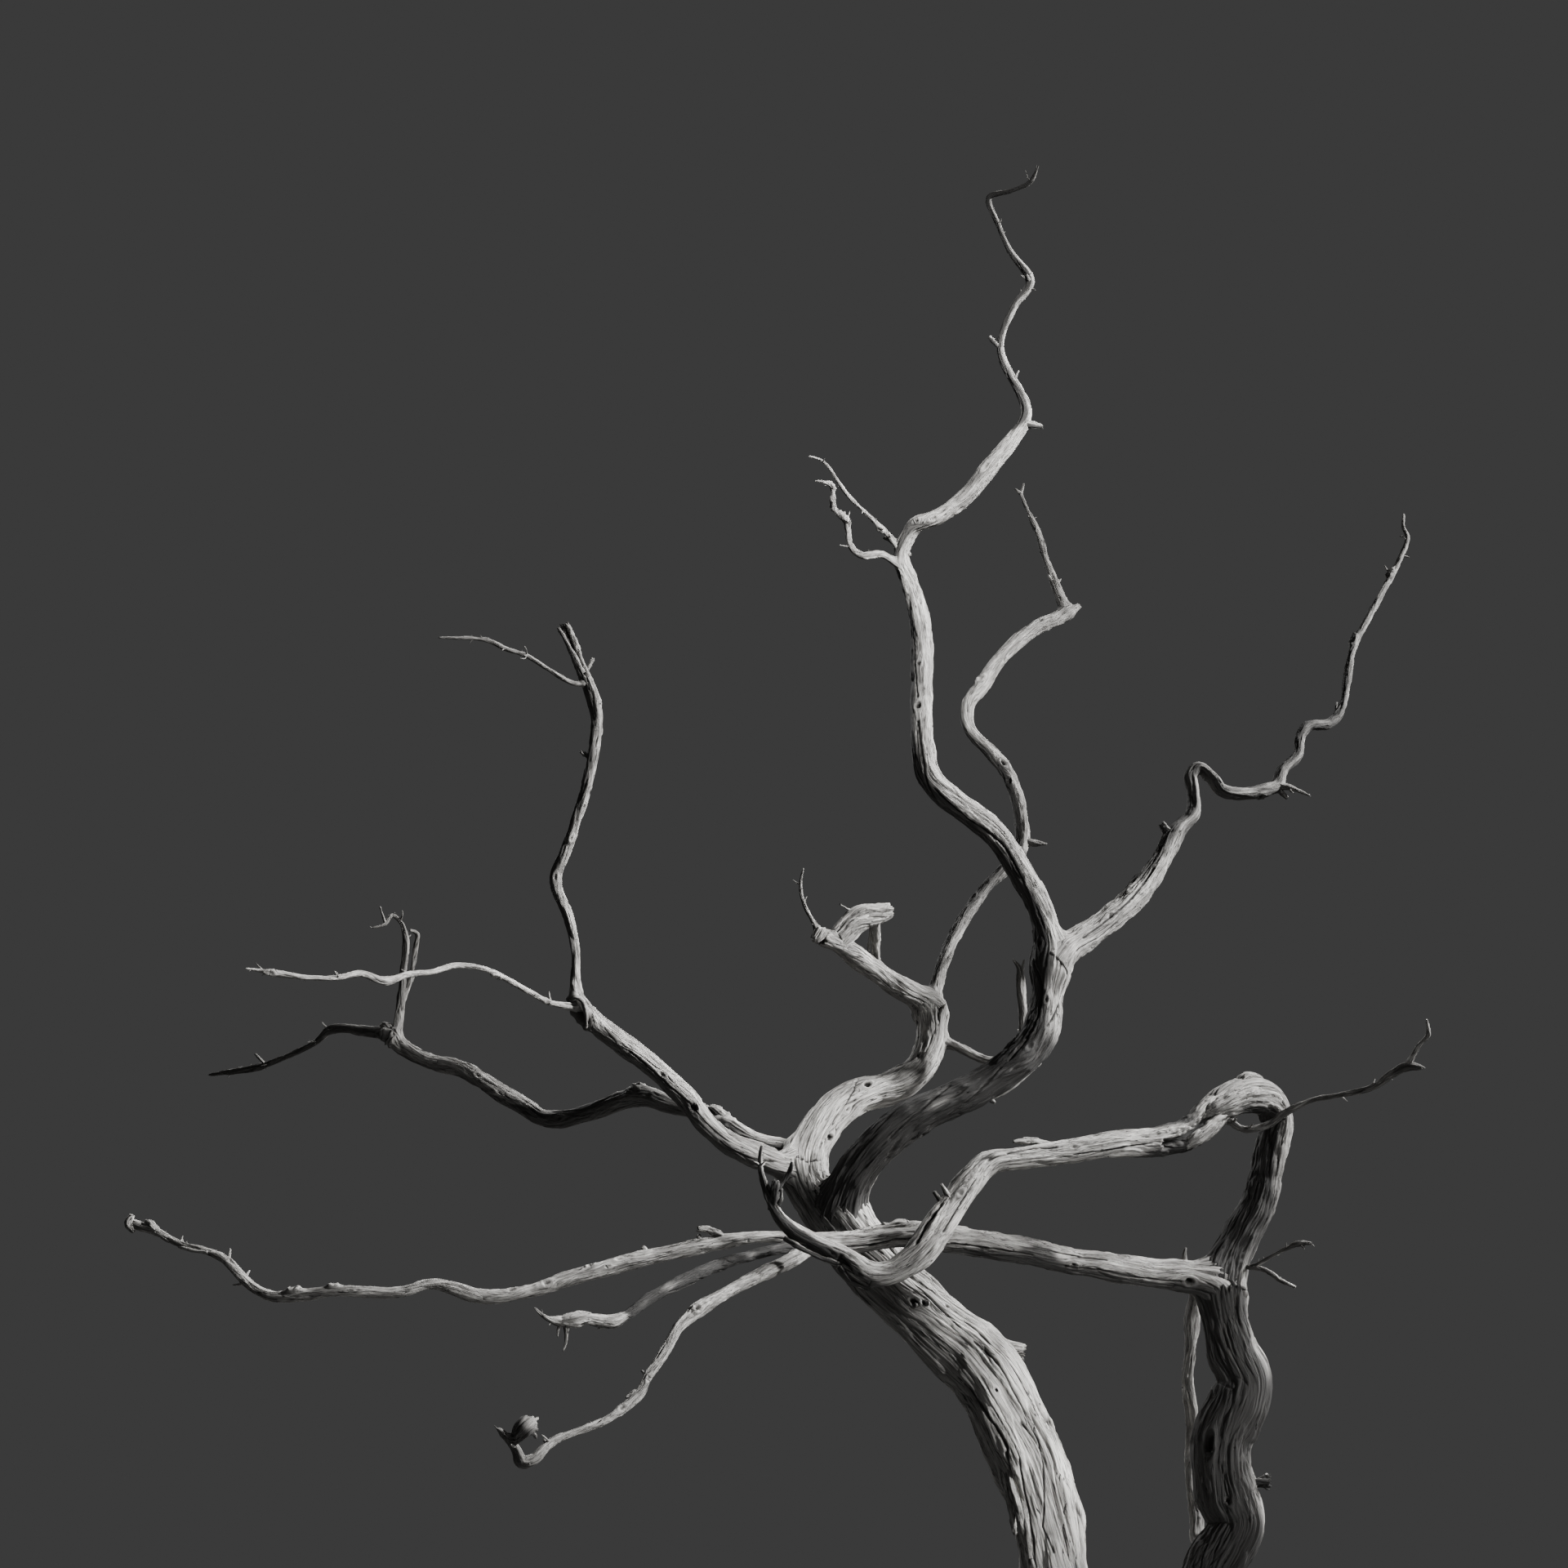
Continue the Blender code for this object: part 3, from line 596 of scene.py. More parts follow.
    def beside(self, rows: Rows) -> list[Bend]:
        """Lay something small along this limb.

        Args:
            rows: its bends, with depths that count from the limb's middle.

        Returns:
            The bends with depths that count from the trunk, as the limb's own do.
        """
        flat, _ = VIEW.seen(self.path.points)
        middle = [int(np.argmin(np.linalg.norm(flat - row[:2], axis=1))) for row in rows]
        return [(row[0], row[1], self.path.points[i][1] + row[2], row[3])
                for row, i in zip(rows, middle)]

    def strewn(self) -> list[Placed]:
        """Strew small knots over the limb, one for about each ten thicknesses.

        Returns:
            The way along, angle, radius, bump and depth of each, at seeded places.
        """
        path = self.path
        found = []
        for _ in range(round(path.arc[-1] / (20 * path.radii.mean() + 0.1))):
            along = self.draw.uniform(0.05, 0.95) * path.arc[-1]
            radius = path.radius_at(along)
            found.append((along, self.draw.uniform(-math.pi, math.pi),
                          radius * self.draw.uniform(0.08, 0.2) + 0.002,
                          self.draw.uniform(0.1, 0.3), self.draw.uniform(0.0, 0.15)))
        return found

    def astray(self, along: np.ndarray, around: np.ndarray, line: list[Placed]) -> np.ndarray:
        """How far over the skin each point is from a groove's line.

        Args:
            along: metres along the limb.
            around: angles round it.
            line: the placed points of the line.

        Returns:
            Metres to the nearest of the line's stretches, each laid flat with the skin round it.
        """
        nearest = np.full(np.broadcast(along, around).shape, np.inf)
        for (place, turn, *_), (next_place, next_turn, *_) in zip(line, line[1:]):
            thick = self.path.radius_at(place)
            ahead, aside = along - place, turned(around - turn) * thick
            run, slew = next_place - place, turned(next_turn - turn) * thick
            share = np.clip((ahead * run + aside * slew) / (run * run + slew * slew + 1e-9), 0, 1)
            nearest = np.minimum(nearest, np.hypot(ahead - share * run, aside - share * slew))
        return nearest

    def grained(self, along: np.ndarray, around: np.ndarray) -> list[np.ndarray]:
        """Coordinates of the straightened grain, in pitches.

        Args:
            along: metres along the limb.
            around: angles round it.

        Returns:
            Two coordinates across and one along. The grain turns slowly, wanders a little, and
            parts round each knot as a stream does: its distance from the knot's line shrinks by
            the square of the knot's radius over the distance.
        """
        radius = self.path.column(self.path.radii, along)
        angle = around + self.relief.twist * along
        for place, turn, size, _, _ in self.marks:
            offset = turned(around - turn)
            spot = ((along - place) / self.OVAL) ** 2 + (offset * self.path.radius_at(place)) ** 2
            bend = size * size / np.maximum(spot, size * size)
            angle = angle - offset * bend * (1 - ramp(2.0, 5.0, np.sqrt(spot) / size))
        count = np.sqrt(radius) / PITCH
        length = self.path.column(self.path.grain, along)
        x, y = count * np.cos(angle), count * np.sin(angle)
        wander = NOISE(x * 0.15 + self.offset[0], y * 0.15, length / 14) * 0.9
        return [x + wander + self.offset[0], y + wander * 0.7 + self.offset[1], length + self.offset[2]]

    def weathered(self, radius: np.ndarray, grain: list[np.ndarray]) -> tuple[np.ndarray, ...]:
        """Relief that growth and weather leave all over a limb.

        Args:
            radius: the limb's radius at each point.
            grain: the grain's coordinates there.

        Returns:
            Height in metres over the smooth limb, and hollow and tone from 0 up. Flutes and lumps
            are slow noise, fissures the thin zero lines of noise stretched along the grain, plates
            its steps over a threshold, and fibres fast noise.
        """
        relief = self.relief
        pitch = PITCH * np.sqrt(radius)
        height = relief.flute * radius * FLUTES.over(grain)
        height += relief.lump * radius * LUMPS.over(grain)
        height += 0.5 * relief.lump * radius * BUMPS.over(grain)
        deep = 1 - ramp(0.0, 0.085, np.abs(FISSURES.over(grain)))
        deep *= ramp(-0.15, 0.3, FISSURED.over(grain))
        thin = 1 - ramp(0.0, 0.15, np.abs(THIN_CRACKS.over(grain)))
        thin *= ramp(-0.25, 0.2, CRACKED.over(grain))
        ledge = ramp(-0.03, 0.03, PLATES.over(grain) - 0.14)
        ledge += 0.6 * ramp(-0.04, 0.04, SMALL_PLATES.over(grain) - 0.2)
        fibre = FIBRES.over(grain) + 0.6 * FINE_FIBRES.over(grain)
        height -= pitch * (relief.fissure * deep + relief.thin * thin)
        height += pitch * (relief.plate * (ledge - 0.5) + relief.fibre * fibre)
        tone = relief.tone * (1 + 0.22 * SHADES.over(grain) + 0.10 * (ledge - 0.5))
        # fissures and thin cracks are marked hollow, which the finish paints as shade
        return height, 0.8 * deep + 0.45 * thin, tone

    def carved(self, along: np.ndarray, around: np.ndarray) -> tuple[np.ndarray, ...]:
        """Height of the relief over the smooth limb, and how hollow and pale each place is.

        Args:
            along: metres along the limb.
            around: angles round it.

        Returns:
            Height in metres, hollow from 0 to 1, tone, and the grain's coordinates. Onto the
            weathered relief come knots, as rims round pits, and grooves, as lips beside a
            channel, both warped by noise.
        """
        grain = self.grained(along, around)
        height, hollow, tone = self.weathered(self.path.column(self.path.radii, along), grain)
        ragged, rough = RAGGED.over(grain), ROUGH.over(grain)
        for place, turn, size, bump, depth in self.marks:
            open_hole = depth >= HOLE_DEPTH
            offset = turned(around - turn) * self.path.radius_at(place)
            long = self.ROUND if open_hole else self.OVAL
            away = np.sqrt(((along - place) / long) ** 2 + offset ** 2) / size
            away = away + 0.5 * ragged * ramp(0.0, 1.0, away)
            rim = bell(away, 0.85, 0.45) * (1 + 0.7 * rough)
            pit = 1 - (ramp(0.6, 1.0, away) if open_hole else ramp(0.0, 0.75, away))
            height += size * (bump * rim - depth * pit)
            # the pit is marked hollow, which the finish paints as shade
            hollow = np.maximum(hollow, pit * min(1.0, depth * 1.2))
        for line, depth in self.cuts:
            size = line[0][2]
            away = self.astray(along, around, line) / size * (1 + 0.5 * rough + 0.5 * ragged)
            cut = 1 - ramp(0.2, 1.1, away)
            height += size * (0.2 * bell(away, 1.4, 0.5) - depth * cut)
            # the channel is marked hollow, which the finish paints as shade
            hollow = np.maximum(hollow, cut)
        return height, np.clip(hollow, 0, 1), tone, np.stack(grain, -1)

    def webbed(self, points: np.ndarray, out: np.ndarray) -> np.ndarray:
        """How far the skin swells out where another limb joins.

        Args:
            points: the smooth skin's grid.
            out: unit vectors out of the limb.

        Returns:
            The swelling that carries each point to the level where the smooth minimum of its own
            height and its distance to the other limb is nought, found by five steps. Where the
            point lies nearer to the other limb it stays a little lower, so that one skin shows.
        """
        swell = np.zeros(points.shape[:2])
        centres = points.mean(axis=1)
        for other in self.joined:
            child, host = (other, self) if set(other.seats) & set(self.spans) else (self, other)
            root = child.path.points[0]
            blend = self.WEB * child.path.radius_at(self.COLLAR)
            thick = host.path.radii[np.argmin(np.linalg.norm(host.path.points - root, axis=1))]
            reach = thick + 2.5 * blend + self.COLLAR
            near = np.nonzero(np.linalg.norm(other.path.points - root, axis=1) < reach + 0.1)[0]
            rows = np.nonzero(np.linalg.norm(centres - root, axis=1) < reach + thick)[0]
            if len(near) < 8 or not len(rows):
                continue
            part = slice(int(near[0]), int(near[-1]) + 1, 3)
            place, way = points[rows].reshape(-1, 3), out[rows].reshape(-1, 3)
            start = other.path.distance(place, part)
            reached = np.nonzero((start < blend) & (start > -blend))[0]
            place, way, start = place[reached], way[reached], start[reached]
            rise = np.zeros(len(reached))
            for _ in range(self.SETTLINGS):
                gap = other.path.distance(place + way * rise[:, None], part)
                fold = np.clip(blend - np.abs(rise - gap), 0, None)
                level = np.minimum(rise, gap) - fold * fold / (4 * blend)
                rise = np.clip(rise - level, 0, blend / 2)
            patch = np.zeros(len(rows) * points.shape[1])
            sunk = 0.12 * blend * ramp(0.0, 0.35 * blend, rise - gap)
            patch[reached] = (rise - sunk) * ramp(-0.8 * blend, -0.3 * blend, start)
            swell[rows] = np.maximum(swell[rows], patch.reshape(len(rows), -1))
        return swell

    def broken(self, way: np.ndarray, around: np.ndarray, start: float, stop: float) -> np.ndarray:
        """Break a torn end off along a jagged line, and add the rings that close it inside.

        Args:
            way: metres along the limb, of each ring at each angle.
            around: the angles.
            start: metres along, where the skin starts.
            stop: metres along, where it ends.

        Returns:
            The rings' ways, slipped back towards the end by noise of the angle, and then the
            inner rings', each farther back.
        """
        radius = self.path.radius_at(stop)
        spin = [np.cos(around), np.sin(around)]
        jag = np.abs(NOISE(spin[0] * 1.6 + self.offset[0], spin[1] * 1.6, 0.5))
        jag = jag + 0.5 * np.abs(NOISE(spin[0] * 6 + self.offset[1], spin[1] * 6, 0.5))
        length = min(2.5 * radius + 0.01, 0.4 * (stop - start))
        way = way - 1.5 * radius * jag * ramp(stop - length, stop, way)
        dents = np.array(self.BREAK)[:, :1]
        return np.vstack([way, way[-1:] - dents * radius * (0.4 + jag)])

    def skin(self, start: float, stop: float, cell: float, tucked: tuple[bool, bool]) -> Skin:
        """Draw the skin between two ways along the limb.

        Args:
            start: metres along, where it starts.
            stop: metres along, where it ends.
            cell: the distance between points round the limb.
            tucked: whether the start and the end dip under a neighbour's skin.

        Returns:
            A closed grid. A torn end's rings slip back by a jagged length of the angle, and more
            rings close it inside; a fine end narrows to a point.
        """
        path = self.path
        laps = [self.LAP * path.radius_at(end) * tuck for end, tuck in zip((start, stop), tucked)]
        start, stop = start - laps[0], stop + laps[1]
        widest = path.radii[(path.arc >= start - 0.01) & (path.arc <= stop + 0.01)].max()
        sides = int(np.clip(2 * math.pi * widest / cell, *self.SIDES))
        rings = max(4, round((stop - start) / float(np.clip(cell * 2.3, *self.RING_GAP))) + 1)
        around = np.arange(sides)[None] * 2 * math.pi / sides
        way = np.linspace(start, stop, rings)[:, None]
        scale = np.ones((rings, 1))
        if tucked[0]:
            scale -= self.TUCK * (1 - ramp(0.0, laps[0], way - start))
        if tucked[1]:
            scale -= self.TUCK * (1 - ramp(0.0, laps[1], stop - way))
        way = np.repeat(way, sides, axis=1)
        inner = np.zeros((rings, 1))
        if not tucked[1] and self.tip is Tip.TORN:
            _, narrowed, inside = np.array(self.BREAK).T[..., None]
            way = self.broken(way, around, start, stop)
            scale = np.vstack([scale, narrowed])
            inner = np.vstack([inner, inside])
        elif not tucked[1] and self.tip is Tip.FINE:
            point = 3.0 * path.radius_at(stop)
            scale = scale * (0.25 + 0.75 * np.sqrt(ramp(0.0, point, stop - way[:, :1])))
        centre = path.column(path.points, way)
        normal = path.column(path.normals, way)
        binormal = path.column(path.binormals, way)
        out = normal * np.cos(around)[..., None] + binormal * np.sin(around)[..., None]
        out /= np.linalg.norm(out, axis=-1)[..., None]
        radius = path.column(path.radii, way)
        depth, height, count, turn = self.flare
        radius = radius * (1 + depth * np.exp(-centre[..., 2] / height) * np.cos(count * around + turn))
        rise, hollow, tone, grain = self.carved(way, np.broadcast_to(around, way.shape))
        smooth = centre + out * radius[..., None]
        swell = self.webbed(smooth, out)
        rise = rise * (1 - inner)
        points = centre + out * ((radius + swell + rise) * scale)[..., None]
        if depth and not tucked[0]:
            points[0, :, 2] = 0.0
        # painted shade inside a torn end
        hollow = np.maximum(hollow, inner * 0.55)
        # painted shade on the side turned from the sun, and painted shadows where the sunned spots set it
        # high
        tone = tone * self.painted_shade(way, out, grain)
        return closed_grid(points, grain, hollow, np.broadcast_to(tone, hollow.shape))


def closed_grid(points: np.ndarray, grain: np.ndarray, hollow: np.ndarray, tone: np.ndarray) -> Skin:
    """Join a grid round a limb into a closed skin, with a pole in the middle of each end ring.

    Args:
        points: rings of points, counted against the clock as seen against the way along.
        grain: the grain's coordinates at each point.
        hollow: how hollow each place is, which the finish paints as shade.
        tone: how pale each place is, painted shade included.

    Returns:
        The skin.
    """
    rings, sides = points.shape[:2]
    index = np.arange(rings * sides).reshape(rings, sides)
    beside = np.roll(index, -1, axis=1)
    quads = np.stack([index[:-1], beside[:-1], beside[1:], index[1:]], -1).reshape(-1, 4)
    low, high = rings * sides, rings * sides + 1
    fans = np.concatenate([
        np.column_stack([np.full(sides, low), beside[0], index[0]]),
        np.column_stack([np.full(sides, high), index[-1], beside[-1]])])

    def with_poles(values: np.ndarray) -> np.ndarray:
        """Flatten the grid and add the means of the first and last ring."""
        flat = values.reshape(rings * sides, -1)
        return np.vstack([flat, flat[:sides].mean(axis=0), flat[-sides:].mean(axis=0)])

    return Skin(with_poles(points), quads, fans, with_poles(grain), with_poles(hollow)[:, 0],
                with_poles(tone)[:, 0])


class Socket:
    """A node's output with arithmetic, so that shader sums read like sums."""

    def __init__(self, paint: "Paint", link: bpy.types.NodeSocket) -> None:
        """Hold the output and the paint that it belongs to."""
        self.paint = paint
        self.link = link

    def math(self, operation: str, *others: "Socket | float") -> "Socket":
        """A Math node of this and the other values."""
        return self.paint.node("ShaderNodeMath", {"operation": operation}, [self, *others])

    def __add__(self, other: "Socket | float") -> "Socket":
        """This plus other."""
        return self.math("ADD", other)

    def __radd__(self, other: float) -> "Socket":
        """Other plus this."""
        return self.math("ADD", other)

    def __sub__(self, other: "Socket | float") -> "Socket":
        """This less other."""
        return self.math("SUBTRACT", other)

    def __rsub__(self, other: float) -> "Socket":
        """Other less this."""
        return self.paint.node("ShaderNodeMath", {"operation": "SUBTRACT"}, [other, self])

    def __mul__(self, other: "Socket | float") -> "Socket":
        """This times other."""
        return self.math("MULTIPLY", other)

    def __rmul__(self, other: float) -> "Socket":
        """Other times this."""
        return self.math("MULTIPLY", other)

    def ramp(self, low: float, high: float) -> "Socket":
        """Add a smooth step.

        Args:
            low: the value at which it is 0.
            high: the value at which it is 1, which may be the lesser.

        Returns:
            The step, 3t^2 - 2t^3 of the share t of the way.
        """
        settings = {"interpolation_type": "SMOOTHSTEP"}
        if low < high:
            return self.paint.node("ShaderNodeMapRange", settings, [self, low, high, 0.0, 1.0])
        return self.paint.node("ShaderNodeMapRange", settings, [self, high, low, 1.0, 0.0])


class Paint:
    """One material's node tree, with a method that adds any node."""

    def __init__(self, name: str) -> None:
        """Start a material whose tree holds the shader and its output.

        Args:
            name: the material's name.
        """
        self.material = bpy.data.materials.new(name)
        self.material.use_nodes = True
        self.tree = self.material.node_tree
        self.shader = self.tree.nodes["Principled BSDF"]

    def node(self, kind: str, settings: dict, values: "list | dict", output: int = 0) -> Socket:
        """Add a node.

        Args:
            kind: the node's type.
            settings: its own settings, set before its sockets.
            values: values or sockets for its inputs, by order or by name or number.
            output: which of its outputs is wanted.

        Returns:
            The output.
        """
        added = self.tree.nodes.new(kind)
        for key, value in settings.items():
            setattr(added, key, value)
        pairs = values.items() if isinstance(values, dict) else enumerate(values)
        for key, value in pairs:
            if isinstance(value, Socket):
                self.tree.links.new(value.link, added.inputs[key])
            else:
                added.inputs[key].default_value = value
        return Socket(self, added.outputs[output])

    def attribute(self, name: str, vector: bool = False) -> Socket:
        """One of the skin's own values."""
        return self.node("ShaderNodeAttribute", {"attribute_name": name}, {}, 1 if vector else 2)

    def noise(self, place: Socket, stretch: Triple, detail: float = 2.0, shift: float = 0.0) -> Socket:
        """Add noise over the grain.

        Args:
            place: the grain's coordinates.
            stretch: what each coordinate is multiplied by.
            detail: how many finer octaves are added.
            shift: where in the noise it starts.

        Returns:
            The noise, from 0 to 1.
        """
        spot = self.node("ShaderNodeMapping", {}, {
            "Vector": place, "Location": (shift, shift, shift), "Scale": stretch})
        return self.node("ShaderNodeTexNoise", {}, {"Vector": spot, "Scale": 1.0, "Detail": detail})

    def mix(self, share: Socket, first: "Socket | tuple", second: tuple) -> Socket:
        """Mix two colours, by the numbers of the node's colour sockets."""
        return self.node("ShaderNodeMix", {"data_type": "RGBA"}, {0: share, 6: first, 7: second}, 2)

    def feed(self, name: str, value: "Socket | float | tuple") -> None:
        """Link a socket to one of the shader's inputs, or set a constant on it.

        Args:
            name: the input's name.
            value: the socket or the constant.
        """
        if isinstance(value, Socket):
            self.tree.links.new(value.link, self.shader.inputs[name])
        else:
            self.shader.inputs[name].default_value = value


@dataclass(frozen=True)
class DryWood:
    """Finish of bare wood paled by the sun in the open: streaks, blotches, dark cracks and painted shade.

    Attributes:
        name: the material's name.
        pale: colour of wood paled by the sun.
        grey: of weathered wood.
        deep: of threads of dark grain, and of painted shade in pits and cracks.
        painted_shade_colour: of the painted shade on the side turned from the sun.
        hole: of thin cracks, and of painted shade deep in holes and grooves.
        fibre: how fine the threads of grain are.
        roughness: the shader's roughness.
        bump: height of the finest relief, in metres.
    """

    name: str
    pale: tuple[float, ...] = (0.68, 0.665, 0.635, 1)
    grey: tuple[float, ...] = (0.27, 0.262, 0.25, 1)
    deep: tuple[float, ...] = (0.060, 0.056, 0.052, 1)
    painted_shade_colour: tuple[float, ...] = (0.025, 0.024, 0.023, 1)
    hole: tuple[float, ...] = (0.014, 0.013, 0.012, 1)
    fibre: float = 1.0
    roughness: float = 0.86
    bump: float = 0.0034

    def material(self) -> bpy.types.Material:
        """Build the material.

        Returns:
            The material. Streaks and blotches of noise along the grain mix pale with grey wood,
            thin bands of noise near its middle value are cracks, and the skin's own hollow and
            tone values paint shade in pits and on the side turned from the sun.
        """
        paint = Paint(self.name)
        grain = paint.attribute("grain", vector=True)
        hollow = paint.attribute("hollow")
        tone = paint.attribute("tone")
        fine = 4.4 * self.fibre
        streak = paint.noise(grain, (0.9, 0.9, 0.06), 3.0)
        band = paint.noise(grain, (2.4, 2.4, 0.11), 3.0, 7.0)
        blotch = paint.noise(grain, (0.4, 0.4, 0.15), 4.0, 3.0)
        thread = paint.noise(grain, (fine, fine, 0.13), 4.0, 11.0)
        hair = paint.noise(grain, (fine * 2.3, fine * 2.3, 0.34), 3.0, 5.0)
        speck = paint.noise(grain, (2.8, 2.8, 1.4), 3.0, 9.0)
        lines = paint.noise(grain, (1.7, 1.7, 0.07), 1.0, 13.0)
        more_lines = paint.noise(grain, (3.4, 3.4, 0.13), 1.0, 19.0)
        where = paint.noise(grain, (0.6, 0.6, 0.2), 1.0, 17.0)
        crack = (lines - 0.5).math("ABSOLUTE").ramp(0.020, 0.004) * where.ramp(0.42, 0.54)
        split = (more_lines - 0.5).math("ABSOLUTE").ramp(0.030, 0.006) * where.ramp(0.56, 0.44)
        # lower tone, from random tone and from painted shade, turns more of the wood grey
        grey_share = (streak.ramp(0.36, 0.60) * 0.32 + band.ramp(0.38, 0.62) * 0.32
                      + blotch.ramp(0.40, 0.60) * 0.45) * (2.3 - tone * 1.25) + (1.0 - tone) * 0.5
        colour = paint.mix(grey_share.math("MINIMUM", 1.0), self.pale, self.grey)
        dark = (thread.ramp(0.47, 0.66) * 0.45 + hair.ramp(0.48, 0.66) * 0.40
                + speck.ramp(0.58, 0.70) * 0.2)
        # the tone mix is painted shade on the side turned from the sun and on limbs set darker; the two
        # hollow mixes are painted shade in pits, grooves and holes; the rest are dark grain and thin cracks
        for share, darker in ((dark.math("MINIMUM", 0.92), self.deep),
                              (tone.ramp(0.75, 0.1) * 0.94, self.painted_shade_colour),
                              (hollow.ramp(0.05, 0.85) * 0.85, self.deep),
                              (crack * 0.9, self.hole),
                              (split * 0.65, self.hole),
                              (hollow.ramp(0.55, 1.0), self.hole)):
            colour = paint.mix(share, colour, darker)
        paint.feed("Base Color", colour)
        paint.feed("Roughness", self.roughness)
        height = thread + hair * 0.4 + band * 0.6 - crack * 1.2 - split * 0.6 - speck * 0.3
        bump = paint.node("ShaderNodeBump", {}, {"Strength": 1.0, "Distance": self.bump,
                                                 "Height": height})
        paint.feed("Normal", bump)
        return paint.material


@dataclass
class Branchwork:
    """A sub-assembly of limbs: the pieces that they are drawn in, their shoots and spurs.

    Attributes:
        pieces: the spans that each piece stands for.
        shoots: bends of the stubs, torn slabs and side twigs that grow out of a span.
        slivers: the same of the small ones, with depths that count from their limb's middle.
        spurs: the count of seeded spurs on each twig mass.
        cell: distance between points round a limb.
        twig_cell: the same round a twig.
        graft_cell: and round a shoot, sliver or spur.
        thorns: seeded spurs and finer thorns together, for each spur.
        spur_length: least and most length of a spur beyond its twig's skin.
        thorn_length: and of a thorn.
        lean: least and most lean of both towards the tip, as a slope.
    """

    pieces: Names = table()
    shoots: Lines = table()
    slivers: Lines = table()
    spurs: dict[str, int] = table()
    cell: float = 0.0037
    twig_cell: float = 0.0028
    graft_cell: float = 0.003
    thorns: int = 4
    spur_length: tuple[float, float] = (0.025, 0.055)
    thorn_length: tuple[float, float] = (0.004, 0.018)
    lean: tuple[float, float] = (0.3, 0.9)

    def limbs(self) -> list[Limb]:
        """Lay out the limbs of this sub-assembly."""
        raise NotImplementedError

    def spurred(self, limb: Limb, name: str) -> list[Limb]:
        """Grow a twig mass's spurs by the source's rule, and then finer thorns between them.

        Args:
            limb: the limb that the mass is a span of.
            name: the span, whose name seeds the places.

        Returns:
            The spurs and thorns. Each leans towards the tip, and starts at the limb's middle.
        """
        path, marks = Path.through(limb.knees, *COARSE)
        names = list(limb.spans)
        order = names.index(name)
        first = marks[limb.last_knee[names[order - 1]]] if order else 0
        last = marks[limb.last_knee[name]]
        draw = random.Random(name)
        count = self.spurs[name]
        grown = []
        for number in range(count * self.thorns):
            spur = number < count
            i = draw.randrange(first + 1, max(first + 2, last))
            heading = path.outward(i, draw.uniform(0, 2 * math.pi))
            heading = heading + path.tangents[i] * draw.uniform(*self.lean)
            heading /= np.linalg.norm(heading)
            length = path.radii[i] + draw.uniform(*(self.spur_length if spur else self.thorn_length))
            thickness = max(THINNEST, path.radii[i] * 0.45) * (1.0 if spur else 0.5)
            place = path.points[i]
            if not spur:
                place = place + (path.points[min(i + 1, last)] - place) * draw.random()
            bow = np.array([draw.uniform(-0.12, 0.12) for _ in range(3)]) * length
            grown.append(Limb(f"{name}_spur_{number}", {"spur": []}, tip=Tip.FINE, foot=[
                (*place, thickness),
                (*(place + heading * length * 0.5 + bow), thickness * 0.7),
                (*(place + heading * length), max(0.0012, thickness * 0.3))]))
        return grown

    def grafts(self, limb: Limb, name: str) -> list[Limb]:
        """Lay out what grows out of a span.

        Args:
            limb: the limb that has the span.
            name: the span.

        Returns:
            Its shoots and slivers, with the painted shade of the limb where they leave it, and its spurs.
        """
        torn = replace(TORN, shade_share=limb.relief.shade_share)
        lines = self.shoots.get(name, []) + [limb.beside(rows) for rows in self.slivers.get(name, [])]
        grown = []
        for number, bends in enumerate(lines):
            root = bends[0][:2]
            level = float(limb.sunline(limb.placed(Knot(*root, 1.0))[0]))
            grown.append(Limb(f"{name}_shoot_{number}", {"shoot": bends}, relief=torn,
                              sunned=((*root, level),)))
        return grown + (self.spurred(limb, name) if name in self.spurs else [])

    def build(self, grown: dict[str, Limb], woods: dict[str, bpy.types.Material]) -> None:
        """Draw each piece's skins, dress them and put them in place of the solids.

        Args:
            grown: the limb that holds each span.
            woods: the finishes by slot.
        """
        for piece, names in self.pieces.items():
            slot = "twig_wood" if names[0] in self.spurs else "bare_wood"
            cell = self.twig_cell if slot == "twig_wood" else self.cell
            skins = []
            for name in names:
                limb = grown[name]
                order = list(limb.spans).index(name)
                before = list(limb.ends.values())[order - 1] if order else 0.0
                tucked = (order > 0, order < len(limb.spans) - 1)
                skins.append(limb.skin(before, limb.ends[name], cell, tucked))
                skins += [graft.skin(0.0, graft.path.arc[-1], self.graft_cell, (False, False))
                          for graft in self.grafts(limb, name)]
            thing = Skin.joined(skins).mesh(piece)
            thing.data.materials.append(woods[slot])
            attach(thing, "root")
            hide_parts(*names)
            LOG.info("%s: %d skins, %d faces", piece, len(skins), len(thing.data.polygons))


